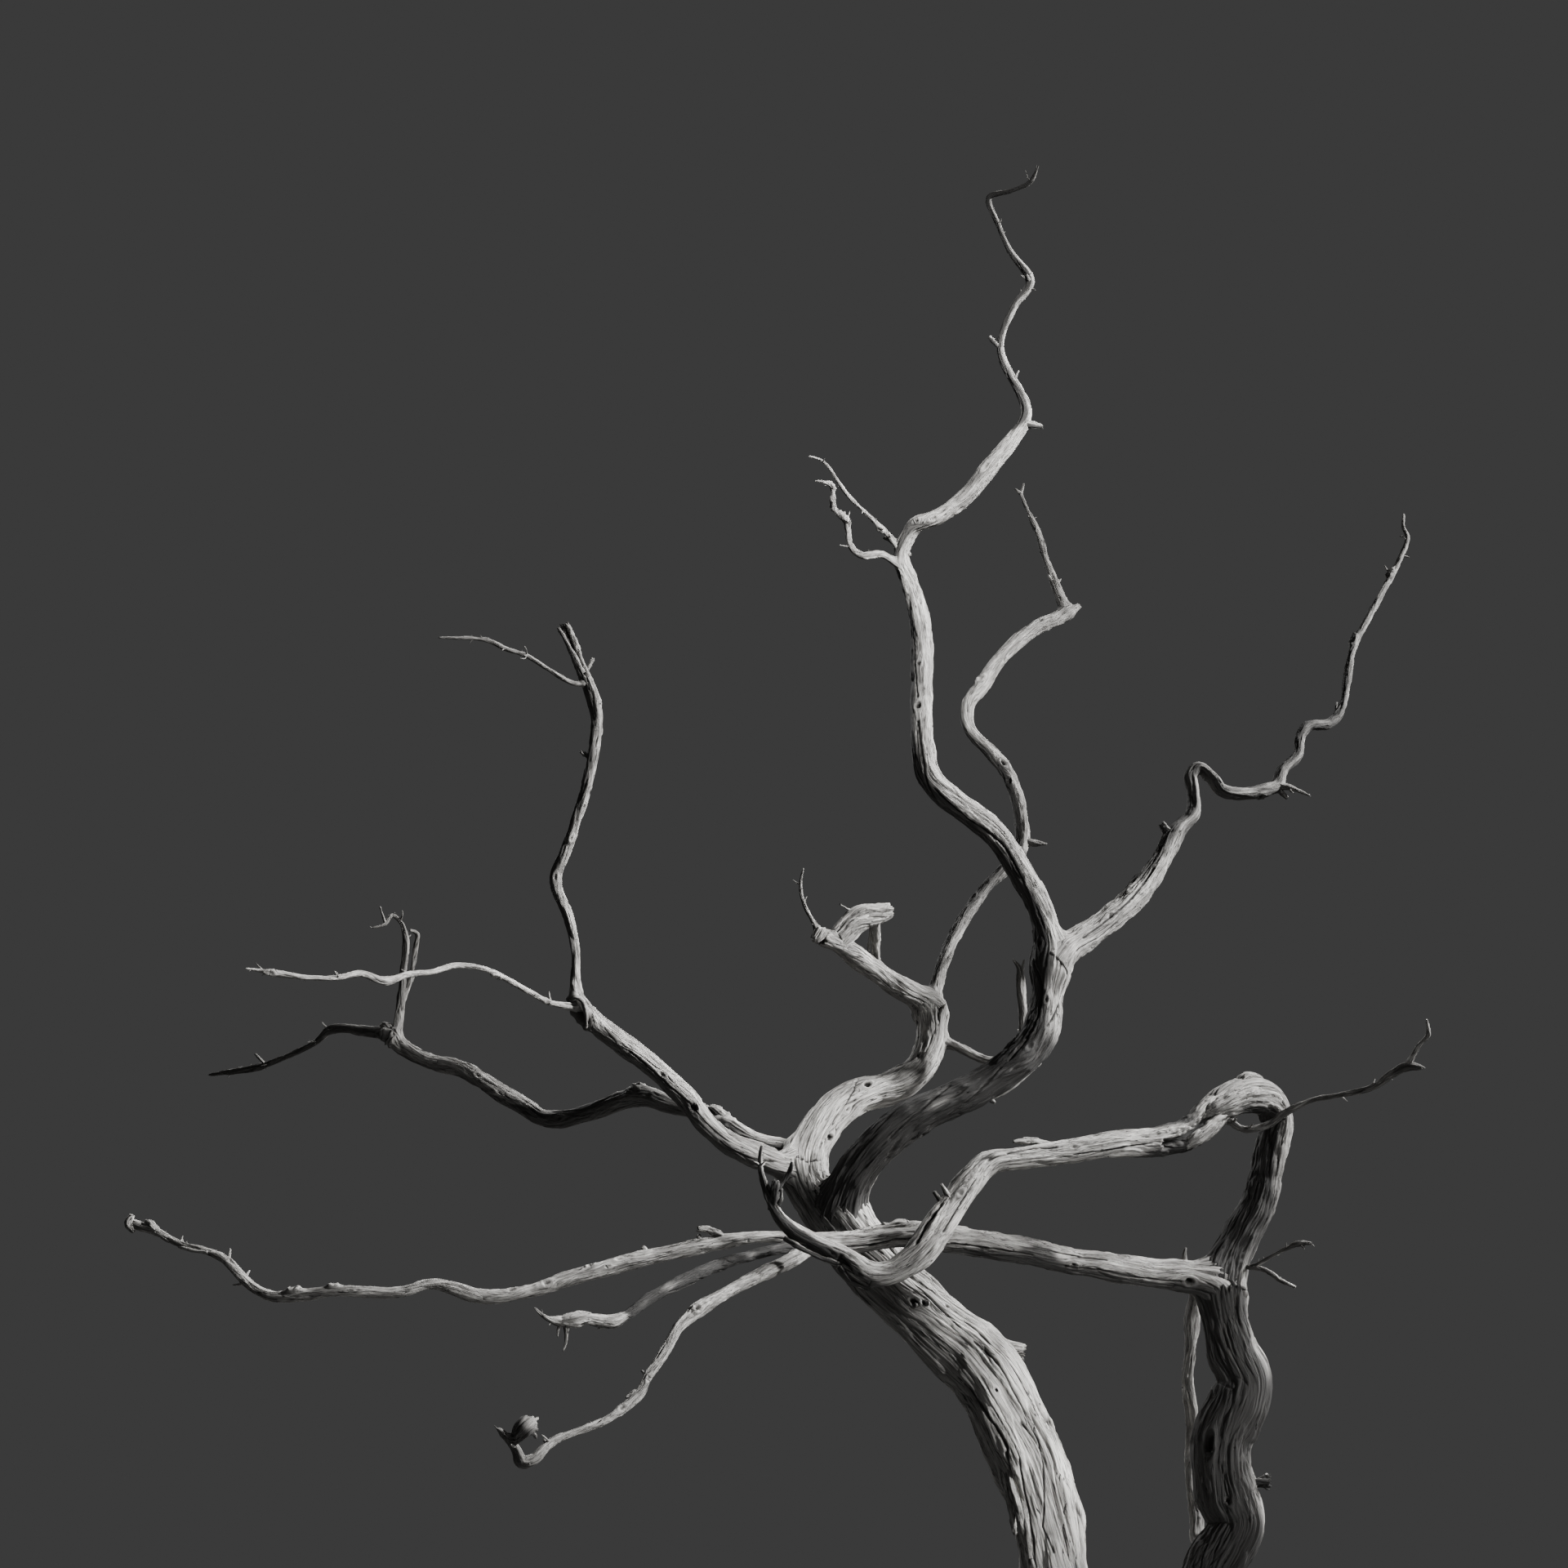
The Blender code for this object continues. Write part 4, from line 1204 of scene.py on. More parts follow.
@dataclass
class Stems(Branchwork):
    """The leaning trunk, the right-hand stem and the thin limb behind it."""

    pieces: Names = table(
        trunk_foot=["trunk_lower"],
        trunk_top=["trunk_upper", "trunk_neck"],
        pale_bough=["bough_pale_1", "bough_pale_2"],
        right_stem=["stem_lower", "stem_upper"],
        thin_limb_behind=["limb_behind"],
    )
    trunk_foot: Rows = field(default_factory=lambda: [
        (0.0, 0.0, 0.0, 0.300),
        (0.0, 0.0, 0.10, 0.248),
        (0.0, 0.0, 0.30, 0.214),
        (-0.005, 0.0, 0.65, 0.200),
        (-0.04, 0.0, 1.10, 0.178),
    ])
    trunk: Spans = table(
        trunk_lower=[(2, 0, 0, 85), (-7, 50, 0, 87), (-38, 150, 0.02, 92)],
        trunk_upper=[(-75, 230, 0.03, 92), (-141, 294, 0.05, 84), (-192, 343, 0.06, 80),
            (-242, 395, 0.08, 76), (-266, 423, 0.09, 70)],
        trunk_neck=[(-287, 447, 0.1, 60), (-302, 472, 0.12, 54), (-302, 500, 0.15, 50)],
        bough_pale_1=[(-275, 548, 0.2, 44), (-240, 577, 0.28, 41), (-190, 593, 0.38, 39)],
        bough_pale_2=[(-164, 612, 0.42, 38), (-151, 640, 0.46, 38), (-149, 668, 0.5, 37),
            (-150, 694, 0.52, 32)],
    )
    trunk_flare: tuple[float, float, int, float] = (0.20, 0.26, 5, 0.6)
    trunk_knots: tuple[Knot, ...] = (
        Knot(-68, 248, 8, 0.3, 0.7), Knot(-67, 213, 5, 0.1, 1.0), Knot(-168, 323, 11, 0.2, 1.0),
        Knot(-155, 322, 7, 0.1, 1.0), Knot(-127, 318, 6, 0.2, 0.8), Knot(-322, 482, 15, 0.2, 1.0),
        Knot(-237, 589, 10, 0.2, 1.0), Knot(-260, 554, 8, 0.25, 0.8), Knot(-278, 521, 9, 0.2, 1.0),
    )
    trunk_grooves: tuple[Groove, ...] = (
        Groove(((-93, 273), (-71, 252), (-50, 216), (-33, 183), (-17, 151), (-11, 122), (-10, 71), (-13, 46),
            (1, 17)), 3),
        Groove(((-107, 299), (-78, 273), (-57, 252), (-35, 216), (-22, 190)), 2),
        Groove(((-105, 225), (-86, 198), (-68, 172), (-53, 143), (-50, 107), (-44, 71), (-39, 35), (-28, 3)),
            5, 0.9),
        Groove(((15, 75), (13, 46), (19, 13)), 2),
        Groove(((-39, 129), (-33, 86), (-24, 35), (-22, 3)), 3, 0.8),
        Groove(((-170, 349), (-140, 320), (-111, 291), (-86, 270)), 2),
        Groove(((-314, 490), (-302, 486), (-288, 489)), 3, 0.9),
        Groove(((-298, 482), (-293, 468), (-286, 452)), 3, 0.8),
        Groove(((-262, 560), (-252, 580), (-244, 600)), 3),
    )
    stem_foot: Rows = field(default_factory=lambda: [
        (0.0, 0.0, 0.45, 0.138),
        (0.13, -0.01, 0.72, 0.142),
        (0.28, -0.02, 1.03, 0.132),
        (0.43, -0.035, 1.37, 0.124),
    ])
    stem: Spans = table(
        stem_lower=[(193, 0, -0.05, 66), (213, 32, -0.08, 64), (224, 58, -0.1, 63)],
        stem_upper=[(211, 90, -0.12, 72), (204, 125, -0.15, 66), (208, 165, -0.18, 68), (229, 207, -0.22, 68),
            (234, 232, -0.24, 64), (220, 265, -0.26, 60), (210, 305, -0.28, 53), (204, 335, -0.3, 50),
            (203, 352, -0.3, 46)],
    )
    stem_knots: tuple[Knot, ...] = (
        Knot(190, 155, 17, 0.1, 1.2), Knot(212, 86, 8, 0.2, 0.9),
    )
    stem_grooves: tuple[Groove, ...] = (
        Groove(((186, 238), (202, 226), (222, 220)), 4, 0.6),
        Groove(((196, 285), (203, 262), (214, 240), (238, 226)), 3, 0.8),
        Groove(((205, 130), (213, 110), (215, 92), (210, 70)), 3, 0.8),
        Groove(((228, 140), (226, 115), (236, 90), (240, 60)), 3, 0.8),
        Groove(((178, 120), (188, 96), (190, 70), (176, 44)), 3, 0.8),
    )
    hind_limb: Spans = table(
        limb_behind=[(192, 18, -0.03, 17), (176, 36, 0.05, 17), (175, 60, 0.08, 17), (168, 95, 0.08, 11),
            (166, 140, 0.06, 10), (170, 182, 0.04, 16), (165, 228, 0, 14), (168, 272, -0.02, 14),
            (171, 312, -0.05, 18), (172, 335, -0.08, 10), (160, 378, -0.12, 7), (162, 393, -0.13, 2)],
    )
    shoots: Lines = table(
        stem_upper=[[(215, 100, -0.15, 14), (254, 106, -0.16, 9), (266, 104, -0.16, 8)]],
    )

    slivers: Lines = table(
        trunk_lower=[
            [(-60, 140, -0.08, 7), (-50, 98, -0.14, 11), (-40, 62, -0.155, 10), (-31, 25, -0.12, 6)],
            [(-68, 160, -0.04, 6), (-61, 115, -0.10, 8), (-53, 75, -0.12, 8), (-46, 40, -0.08, 5)],
            [(-40, 90, -0.12, 5), (-33, 52, -0.165, 7), (-28, 10, -0.14, 5)]],
        trunk_upper=[
            [(-118, 270, 0, 36), (-92, 270, 0, 38), (-64, 264, -0.01, 30), (-43, 264, -0.02, 20),
                (-34, 263, -0.02, 18)],
            [(-172, 318, -0.12, 6), (-169, 322, -0.14, 5), (-168, 325, -0.145, 3)],
            [(-158, 320, -0.12, 6), (-154, 325, -0.15, 5), (-153, 328, -0.155, 3)]],
        trunk_neck=[
            [(-304, 492, -0.06, 11), (-294, 465, -0.09, 12), (-281, 438, -0.06, 8)],
            [(-290, 492, -0.05, 8), (-277, 466, -0.075, 10), (-269, 444, -0.04, 6)]],
        stem_upper=[[(246, 103, 0, 8), (256, 105, -0.01, 11), (262, 105, -0.02, 19), (266, 105, -0.02, 18)]],
    )

    def limbs(self) -> list[Limb]:
        """Lay out the trunk with its flared foot, the stem that leaves it and the thin limb.

        Returns:
            The limbs.
        """
        return [
            # painted light: the trunk's tone is raised; its sunned spots set its painted shade, high near the
            # neck as a painted shadow
            Limb("trunk", self.trunk, foot=self.trunk_foot, knots=self.trunk_knots,
                 grooves=self.trunk_grooves, relief=Relief(flute=0.12, tone=1.15, shade_share=0.35),
                 sunned=((0, 0, -0.4), (-60, 200, -0.3), (-150, 315, 0.1), (-215, 380, 0.45),
                         (-290, 455, 0.35), (-290, 500, -0.9)),
                 flare=self.trunk_flare),
            # painted shadow: the stem is dark wood but for the side towards the sun
            Limb("stem", self.stem, ("trunk_lower",), self.stem_foot, self.stem_knots,
                 self.stem_grooves, ((50, -370, -0.3), (120, -190, -0.3), (180, -40, 0.6), (193, 0, 0.8),
                                     (203, 352, 0.8)),
                 Relief(tone=0.85, shade_share=0.06)),
            Limb("hind_limb", self.hind_limb, ("stem_lower",), relief=Relief(lump=0.14)),
        ]


@dataclass
class TallBough(Branchwork):
    """The tall middle bough, its two side twigs and the twigs at the top of the crown."""

    pieces: Names = table(
        tall_bough=["bough_tall_1", "bough_tall_2", "bough_tall_3"],
        tall_bough_top=["bough_tall_4", "bough_tall_5"],
        crown_twigs=["twigs_top"],
        high_side_twigs=["twigs_tall_high"],
        low_side_twigs=["twigs_tall_low"],
    )
    bough: Spans = table(
        bough_tall_1=[(-262, 425, 0.05, 50), (-245, 480, -0.05, 46), (-188, 541, -0.12, 46),
            (-90, 588, -0.1, 42)],
        bough_tall_2=[(-48, 617, -0.08, 44), (-19, 652, -0.06, 42), (-8, 697, -0.04, 38),
            (-5, 757, -0.04, 36), (-14, 800, -0.05, 32)],
        bough_tall_3=[(-36, 845, -0.08, 33), (-70, 896, -0.12, 30), (-150, 965, -0.2, 30),
            (-160, 1005, -0.2, 27)],
        bough_tall_4=[(-161, 1060, -0.12, 27), (-162, 1155, 0.02, 26), (-177, 1208, 0.05, 23),
            (-186, 1240, 0, 20)],
        bough_tall_5=[(-172, 1273, -0.08, 20), (-138, 1289, -0.16, 20), (-105, 1315, -0.24, 20),
            (-75, 1352, -0.32, 22), (-50, 1382, -0.38, 18)],
        twigs_top=[(-33, 1414, -0.42, 14), (-65, 1492, -0.4, 9), (-50, 1542, -0.42, 9),
            (-29, 1575, -0.45, 11), (-55, 1615, -0.5, 7), (-68, 1645, -0.52, 6), (-79, 1678, -0.55, 7),
            (-50, 1687, -0.6, 5), (-28, 1698, -0.62, 5), (-19, 1717, -0.64, 2)],
    )
    knots: tuple[Knot, ...] = (
        Knot(-165, 1283, 7), Knot(-145, 1286, 7), Knot(-115, 1296, 8), Knot(-84, 1349, 8),
        Knot(-166, 1049, 9, 0.3, 1.0), Knot(-165, 1100, 6, 0.3, 1.0), Knot(-15, 760, 8, 0.4, 0.9),
        Knot(-160, 530, 10, 0.3, 0.8), Knot(-10, 690, 7),
    )
    grooves: tuple[Groove, ...] = (
        Groove(((-165, 1030), (-157, 980), (-145, 920)), 4),
        Groove(((-145, 954), (-102, 915), (-59, 882), (-35, 838)), 4),
        Groove(((8, 752), (11, 704), (-11, 656)), 4),
        Groove(((-20, 740), (-14, 700), (-30, 652), (-60, 618)), 4),
        Groove(((-70, 610), (-110, 570), (-160, 530), (-205, 500)), 4),
        Groove(((-130, 590), (-165, 560), (-200, 525)), 4),
        Groove(((-172, 1150), (-170, 1100), (-166, 1060)), 3),
    )
    high_twig: Spans = table(
        twigs_tall_high=[(-186, 1243, 0, 10), (-199, 1261, -0.05, 8), (-230, 1292, -0.16, 5),
            (-253, 1315, -0.24, 5), (-282, 1355, -0.34, 3), (-300, 1361, -0.4, 2)],
    )
    low_twig: Spans = table(
        twigs_tall_low=[(-181, 1222, 0.03, 10), (-210, 1241, -0.07, 9), (-235, 1240, -0.14, 8),
            (-248, 1251, -0.2, 7), (-254, 1280, -0.28, 7), (-268, 1298, -0.34, 6), (-272, 1325, -0.4, 5),
            (-292, 1331, -0.48, 2)],
    )
    twig_knots: tuple[Knot, ...] = (
        Knot(-213, 1273, 6, 0.9, 0), Knot(-254, 1288, 8, 0.9, 0), Knot(-275, 1302, 7, 0.9, 0),
        Knot(-270, 1328, 6, 0.9, 0),
    )
    shoots: Lines = table(
        twigs_top=[
            [(-35, 1401, -0.41, 10), (-12, 1397, -0.42, 5)],
            [(-66, 1493, -0.4, 7), (-80, 1508, -0.41, 5)],
            [(-30, 1566, -0.44, 4), (-22, 1565, -0.45, 2)]],
    )
    slivers: Lines = table(
        bough_tall_1=[[(-84, 578, 0, 9), (-76, 572, -0.01, 6), (-71, 569, -0.01, 3)]],
        bough_tall_5=[[(-208, 1262, 0, 5), (-186, 1250, 0, 8), (-176, 1238, 0, 6)]],
    )
    spurs: dict[str, int] = table(twigs_top=5, twigs_tall_high=3, twigs_tall_low=3)

    def limbs(self) -> list[Limb]:
        """Lay out the bough and the two side twigs.

        Returns:
            The limbs.
        """
        seats = ("bough_tall_4", "bough_tall_5")
        return [
            # painted shadow over much of the bough's lower half, set by the high sunned spots
            Limb("tall_bough", self.bough, ("trunk_upper", "trunk_neck"), knots=self.knots,
                 grooves=self.grooves, relief=Relief(flute=0.14, shade_share=0.07),
                 sunned=((-262, 425, 1.0), (-200, 530, 0.9), (-150, 560, 0.35), (-60, 600, 0.8),
                         (-25, 640, 0.7), (0, 680, 0.1), (-8, 790, 0.0), (-36, 845, -0.3),
                         (-150, 965, -0.4), (-45, 1385, -0.4), (-33, 1414, 0.3))),
            Limb("high_twig", self.high_twig, seats, knots=self.twig_knots[:1], relief=HALF_SHADED,
                 tip=Tip.FINE),
            Limb("low_twig", self.low_twig, seats[:1], knots=self.twig_knots[1:], relief=HALF_SHADED,
                 tip=Tip.FINE),
        ]


@dataclass
class RightBough(Branchwork):
    """The bough that hooks over to the right and ends in a tall thin twig."""

    pieces: Names = table(
        right_bough=["bough_right_1", "bough_right_2"],
        right_bough_end=["bough_right_3", "bough_right_4", "bough_right_5"],
        right_end_twigs=["twigs_right_tip"],
        right_low_twigs=["twigs_right_low"],
    )
    bough: Spans = table(
        bough_right_1=[(-3, 735, -0.04, 38), (20, 760, 0.02, 36), (55, 783, 0.12, 30), (95, 817, 0.24, 31),
            (122, 852, 0.34, 29), (150, 902, 0.45, 22)],
        bough_right_2=[(170, 925, 0.5, 18), (171, 950, 0.52, 16), (168, 970, 0.53, 17), (178, 980, 0.54, 15),
            (193, 968, 0.57, 15)],
        bough_right_3=[(208, 951, 0.61, 16), (272, 957, 0.8, 16)],
        bough_right_4=[(281, 977, 0.84, 12), (299, 995, 0.9, 12), (302, 1018, 0.94, 12),
            (312, 1031, 0.98, 13), (337, 1034, 1.05, 13)],
        bough_right_5=[(352, 1051, 1.1, 10), (366, 1125, 1.2, 9)],
        twigs_right_tip=[(385, 1163, 1.28, 8), (426, 1240, 1.4, 7), (433, 1262, 1.42, 5),
            (428, 1276, 1.43, 4), (429, 1291, 1.44, 3)],
    )
    knots: tuple[Knot, ...] = (
        Knot(62, 792, 7, 0.3, 0.9), Knot(88, 825, 6), Knot(125, 875, 7), Knot(180, 970, 11, 0.3, 1.0),
        Knot(251, 943, 8, 0.3, 1.0), Knot(366, 1137, 8, 0.9, 0), Knot(410, 1220, 7, 0.9, 0),
    )
    grooves: tuple[Groove, ...] = (
        Groove(((28, 766), (56, 786), (85, 810), (118, 850)), 4),
        Groove(((20, 748), (48, 768), (72, 786)), 3),
        Groove(((90, 826), (112, 852), (138, 895)), 3),
    )
    twig: Spans = table(
        twigs_right_low=[(272, 956, 0.8, 9), (288, 956, 0.79, 7), (315, 945, 0.82, 2)],
    )
    shoots: Lines = table(
        bough_right_1=[[(142, 896, 0.42, 12), (131, 912, 0.41, 6)]],
        twigs_right_low=[[(274, 954, 0.8, 8), (287, 942, 0.8, 4)]],
    )
    slivers: Lines = table(
        bough_right_4=[[(344, 1040, 0, 5), (346, 1053, -0.01, 3), (347, 1060, -0.01, 2)]],
    )
    spurs: dict[str, int] = table(twigs_right_tip=3, twigs_right_low=1)

    def limbs(self) -> list[Limb]:
        """Lay out the bough and its broken side twig.

        Returns:
            The limbs.
        """
        return [
            # painted shade set by the sunned spots, a painted shadow on the outer part
            Limb("right_bough", self.bough, ("bough_tall_2", "bough_tall_3"), knots=self.knots,
                 grooves=self.grooves, relief=Relief(shade_share=0.25), tip=Tip.FINE,
                 sunned=((-3, 735, -0.4), (75, 800, -0.3), (110, 835, 0.3), (150, 902, 0.6),
                         (366, 1125, 0.6), (400, 1190, 0.0), (429, 1291, -0.2))),
            Limb("right_twig", self.twig, ("bough_right_3", "bough_right_4"), relief=HALF_SHADED,
                 tip=Tip.FINE),
        ]


@dataclass
class PaleForks(Branchwork):
    """The forks of the pale bough: a hooked broken slab, the inner bough and a side twig."""

    pieces: Names = table(
        hooked_bough=["bough_hooked"],
        hooked_end_twigs=["twigs_hooked"],
        inner_bough=["bough_inner_1", "bough_inner_2", "bough_inner_3"],
        inner_end_twigs=["twigs_inner"],
        crotch_twigs=["twigs_crotch"],
    )
    hooked: Spans = table(
        bough_hooked=[(-150, 680, 0.5, 34), (-163, 697, 0.47, 30), (-190, 712, 0.36, 28),
            (-230, 740, 0.15, 26), (-262, 763, -0.03, 24), (-288, 774, -0.18, 21)],
    )
    hooked_twig: Spans = table(
        twigs_hooked=[(-286, 777, -0.17, 14), (-291, 786, -0.19, 7), (-305, 812, -0.25, 5),
            (-310, 837, -0.3, 4), (-306, 857, -0.35, 2)],
    )
    inner: Spans = table(
        bough_inner_1=[(-150, 684, 0.52, 22), (-144, 712, 0.58, 18), (-132, 750, 0.68, 16),
            (-110, 795, 0.8, 15), (-80, 835, 0.88, 14), (-55, 860, 0.92, 15)],
        bough_inner_2=[(-39, 885, 0.95, 17), (-51, 962, 1.05, 18), (-72, 994, 1.08, 17),
            (-102, 1026, 1.1, 15)],
        bough_inner_3=[(-105, 1056, 1.15, 16), (-88, 1080, 1.2, 19), (-62, 1117, 1.28, 18),
            (-25, 1148, 1.35, 17), (12, 1167, 1.42, 17), (32, 1179, 1.45, 6)],
    )
    inner_twig: Spans = table(
        twigs_inner=[(16, 1168, 1.43, 15), (2, 1205, 1.45, 12), (-8, 1232, 1.5, 8), (-20, 1270, 1.55, 8),
            (-32, 1295, 1.57, 5), (-41, 1318, 1.6, 4)],
    )
    inner_knots: tuple[Knot, ...] = (
        Knot(-60, 985, 9, 0.3, 1.0), Knot(-53, 960, 8, 0.3, 1.0), Knot(-92, 1083, 8, 1.0, 0),
        Knot(-100, 820, 7), Knot(-40, 870, 7),
    )
    crotch_twig: Spans = table(
        twigs_crotch=[(-146, 651, 0.48, 15), (-128, 643, 0.46, 13), (-75, 620, 0.4, 11), (-48, 630, 0.37, 10),
            (-38, 655, 0.35, 10), (-40, 715, 0.33, 10), (-42, 735, 0.32, 6), (-50, 745, 0.3, 2)],
    )
    shoots: Lines = table(
        bough_hooked=[
            [(-268, 764, -0.06, 22), (-252, 783, -0.04, 29), (-232, 796, -0.02, 26), (-212, 801, 0, 23),
                (-197, 805, 0.02, 15)],
            [(-216, 736, 0.2, 8), (-217, 762, 0.1, 9), (-218, 790, 0, 8)]],
        bough_inner_2=[[(-40, 889, 0.95, 11), (-25, 887, 0.96, 8), (-8, 886, 0.98, 2)]],
        twigs_inner=[
            [(-40, 1315, 1.6, 4), (-47, 1322, 1.58, 2)],
            [(-40, 1314, 1.6, 4), (-36, 1328, 1.62, 2)]],
        twigs_crotch=[[(-41, 725, 0.33, 6), (-36, 745, 0.34, 2)]],
    )
    slivers: Lines = table(
        bough_hooked=[
            [(-292, 768, -0.02, 11), (-284, 780, -0.04, 16), (-282, 785, -0.04, 11)],
            [(-262, 772, -0.05, 10), (-243, 788, -0.06, 14), (-218, 795, -0.05, 13), (-199, 800, -0.02, 8)],
            [(-238, 800, 0, 4), (-250, 806, 0, 3), (-262, 813, 0, 2)],
            [(-227, 755, -0.01, 4), (-224, 785, -0.02, 3)],
            [(-222, 752, -0.02, 3), (-221, 784, -0.03, 3)]],
        bough_inner_3=[[(-96, 1076, 0, 8), (-92, 1088, -0.01, 5), (-91, 1092, -0.01, 3)]],
    )
    spurs: dict[str, int] = table(twigs_hooked=2, twigs_inner=4, twigs_crotch=2)

    def limbs(self) -> list[Limb]:
        """Lay out the two forks and the three twigs.

        Returns:
            The limbs.
        """
        return [
            # painted light: tone raised
            Limb("hooked_bough", self.hooked, ("bough_pale_2",), relief=Relief(tone=1.05)),
            Limb("hooked_twig", self.hooked_twig, ("bough_hooked",), relief=HALF_SHADED, tip=Tip.FINE),
            # painted shadow on the lower inner bough, set by the sunned spots
            Limb("inner_bough", self.inner, ("bough_pale_2", "bough_hooked"), knots=self.inner_knots,
                 sunned=((-150, 684, 0.6), (-39, 885, 0.6), (-60, 975, 0.0), (-105, 1056, -0.6)),
                 relief=Relief(shade_share=0.3)),
            Limb("inner_twig", self.inner_twig, ("bough_inner_3",), relief=HALF_SHADED, tip=Tip.FINE),
            Limb("crotch_twig", self.crotch_twig, ("bough_pale_2",), relief=HALF_SHADED, tip=Tip.FINE),
        ]


@dataclass
class LeftBoughs(Branchwork):
    """The two boughs that reach left from the neck, one in front and one behind."""

    pieces: Names = table(
        left_bough=["bough_left_1"],
        left_bough_rise=["bough_left_2", "bough_left_3"],
        left_high_twigs=["twigs_left_high"],
        left_long_twigs=["twigs_left_long"],
        far_bough=["bough_far_1", "bough_far_2", "bough_far_3"],
        far_end_twigs=["twigs_far_end"],
        far_rising_twigs=["twigs_far_up"],
    )
    left: Spans = table(
        bough_left_1=[(-300, 486, 0.19, 38), (-325, 492, 0.1, 36), (-345, 496, 0.03, 32),
            (-400, 521, -0.1, 27), (-427, 545, -0.14, 26), (-450, 576, -0.16, 25), (-505, 626, -0.22, 24),
            (-565, 672, -0.28, 26)],
        bough_left_2=[(-580, 690, -0.3, 24), (-585, 715, -0.32, 13), (-585, 755, -0.34, 12),
            (-594, 796, -0.36, 14), (-608, 832, -0.4, 15)],
        bough_left_3=[(-609, 850, -0.42, 14), (-597, 880, -0.46, 14), (-571, 960, -0.54, 13),
            (-563, 1000, -0.58, 14), (-559, 1040, -0.6, 14), (-563, 1065, -0.62, 17), (-580, 1104, -0.66, 12),
            (-590, 1132, -0.69, 13), (-600, 1158, -0.72, 11)],
    )
    left_knots: tuple[Knot, ...] = (
        Knot(-440, 563, 9, 0.3, 1.0), Knot(-582, 682, 24, 0.35, 0.9), Knot(-590, 894, 6), Knot(-554, 1058, 6),
        Knot(-575, 932, 6), Knot(-564, 954, 5), Knot(-610, 847, 7), Knot(-480, 605, 7),
    )
    left_grooves: tuple[Groove, ...] = (
        Groove(((-573, 1096), (-583, 1114), (-592, 1136), (-600, 1156)), 9, 1.1),
        Groove(((-400, 524), (-430, 550), (-470, 590), (-520, 634)), 3, 0.7),
        Groove(((-350, 500), (-380, 506), (-410, 524)), 3, 0.7),
    )
    high_twig: Spans = table(
        twigs_left_high=[(-571, 1084, -0.64, 8), (-590, 1084, -0.67, 6), (-645, 1117, -0.77, 5),
            (-672, 1126, -0.82, 6), (-693, 1136, -0.86, 5), (-753, 1139, -0.97, 3)],
    )
    long_twig: Spans = table(
        twigs_left_long=[(-576, 686, -0.3, 10), (-615, 692, -0.42, 7), (-650, 710, -0.52, 7),
            (-695, 733, -0.64, 7), (-730, 738, -0.72, 7), (-760, 730, -0.8, 7), (-790, 727, -0.87, 8),
            (-820, 719, -0.94, 10), (-848, 728, -1.0, 8), (-875, 723, -1.06, 6), (-915, 723, -1.14, 6),
            (-955, 729, -1.2, 9), (-968, 731, -1.22, 5), (-990, 734, -1.26, 2)],
    )
    long_knots: tuple[Knot, ...] = (
        Knot(-622, 694, 6, 0.5, 0), Knot(-683, 725, 7, 0.5, 0), Knot(-960, 729, 8, 0.5, 0),
    )
    far: Spans = table(
        bough_far_1=[(-301, 506, 0.15, 26), (-330, 515, 0.2, 23), (-365, 524, 0.26, 19),
            (-400, 543, 0.34, 20), (-430, 556, 0.4, 17), (-465, 566, 0.46, 21), (-502, 577, 0.54, 25)],
        bough_far_2=[(-580, 554, 0.78, 20), (-618, 549, 0.9, 21)],
        bough_far_3=[(-650, 566, 1.0, 21), (-690, 590, 1.1, 21), (-725, 611, 1.2, 20), (-760, 619, 1.28, 19),
            (-797, 638, 1.35, 20)],
        twigs_far_end=[(-812, 652, 1.39, 17), (-832, 656, 1.44, 13), (-886, 659, 1.58, 10),
            (-902, 645, 1.62, 7), (-960, 618, 1.76, 7), (-985, 611, 1.82, 9), (-1035, 604, 1.94, 3)],
    )
    far_twig: Spans = table(
        twigs_far_up=[(-805, 646, 1.37, 14), (-799, 692, 1.4, 10), (-796, 730, 1.36, 8), (-793, 770, 1.3, 8),
            (-800, 792, 1.26, 5), (-810, 799, 1.24, 5), (-819, 788, 1.22, 4), (-835, 784, 1.2, 2)],
    )
    far_knots: tuple[Knot, ...] = (
        Knot(-412, 556, 20, 0.4, 0.4), Knot(-510, 589, 12, 0.7, 0.3), Knot(-812, 648, 16, 0.4, 0.3),
        Knot(-600, 552, 8), Knot(-700, 600, 7),
    )
    shoots: Lines = table(
        bough_left_3=[
            [(-573, 1098, -0.65, 6), (-563, 1114, -0.64, 4)],
            [(-568, 993, -0.57, 6), (-577, 999, -0.57, 3)]],
        twigs_far_end=[[(-965, 616, 1.77, 4), (-978, 630, 1.76, 2)]],
        twigs_far_up=[
            [(-800, 684, 1.4, 7), (-789, 715, 1.44, 6), (-782, 755, 1.45, 6), (-779, 777, 1.43, 5),
                (-789, 781, 1.4, 3)],
            [(-818, 790, 1.22, 3), (-825, 810, 1.22, 2)]],
    )
    slivers: Lines = table(
        bough_left_2=[
            [(-594, 688, -0.03, 5), (-586, 698, -0.06, 5), (-577, 694, -0.07, 5), (-572, 678, -0.06, 5),
                (-572, 660, -0.04, 4)]],
        bough_left_3=[
            [(-576, 1096, -0.01, 6), (-590, 1122, -0.03, 6), (-600, 1142, -0.03, 6), (-607, 1152, -0.03, 4)],
            [(-574, 996, 0, 6), (-580, 1000, -0.01, 3)]],
        bough_far_1=[
            [(-400, 545, 0, 14), (-412, 557, -0.02, 17), (-424, 563, -0.01, 9)],
            [(-504, 578, 0, 12), (-511, 588, 0, 10), (-516, 591, 0, 5)]],
        twigs_far_end=[[(-804, 645, 0, 13), (-814, 659, -0.01, 13), (-823, 665, -0.01, 8)]],
    )
    spurs: dict[str, int] = table(
        twigs_left_high=4, twigs_left_long=7, twigs_far_end=4, twigs_far_up=3)

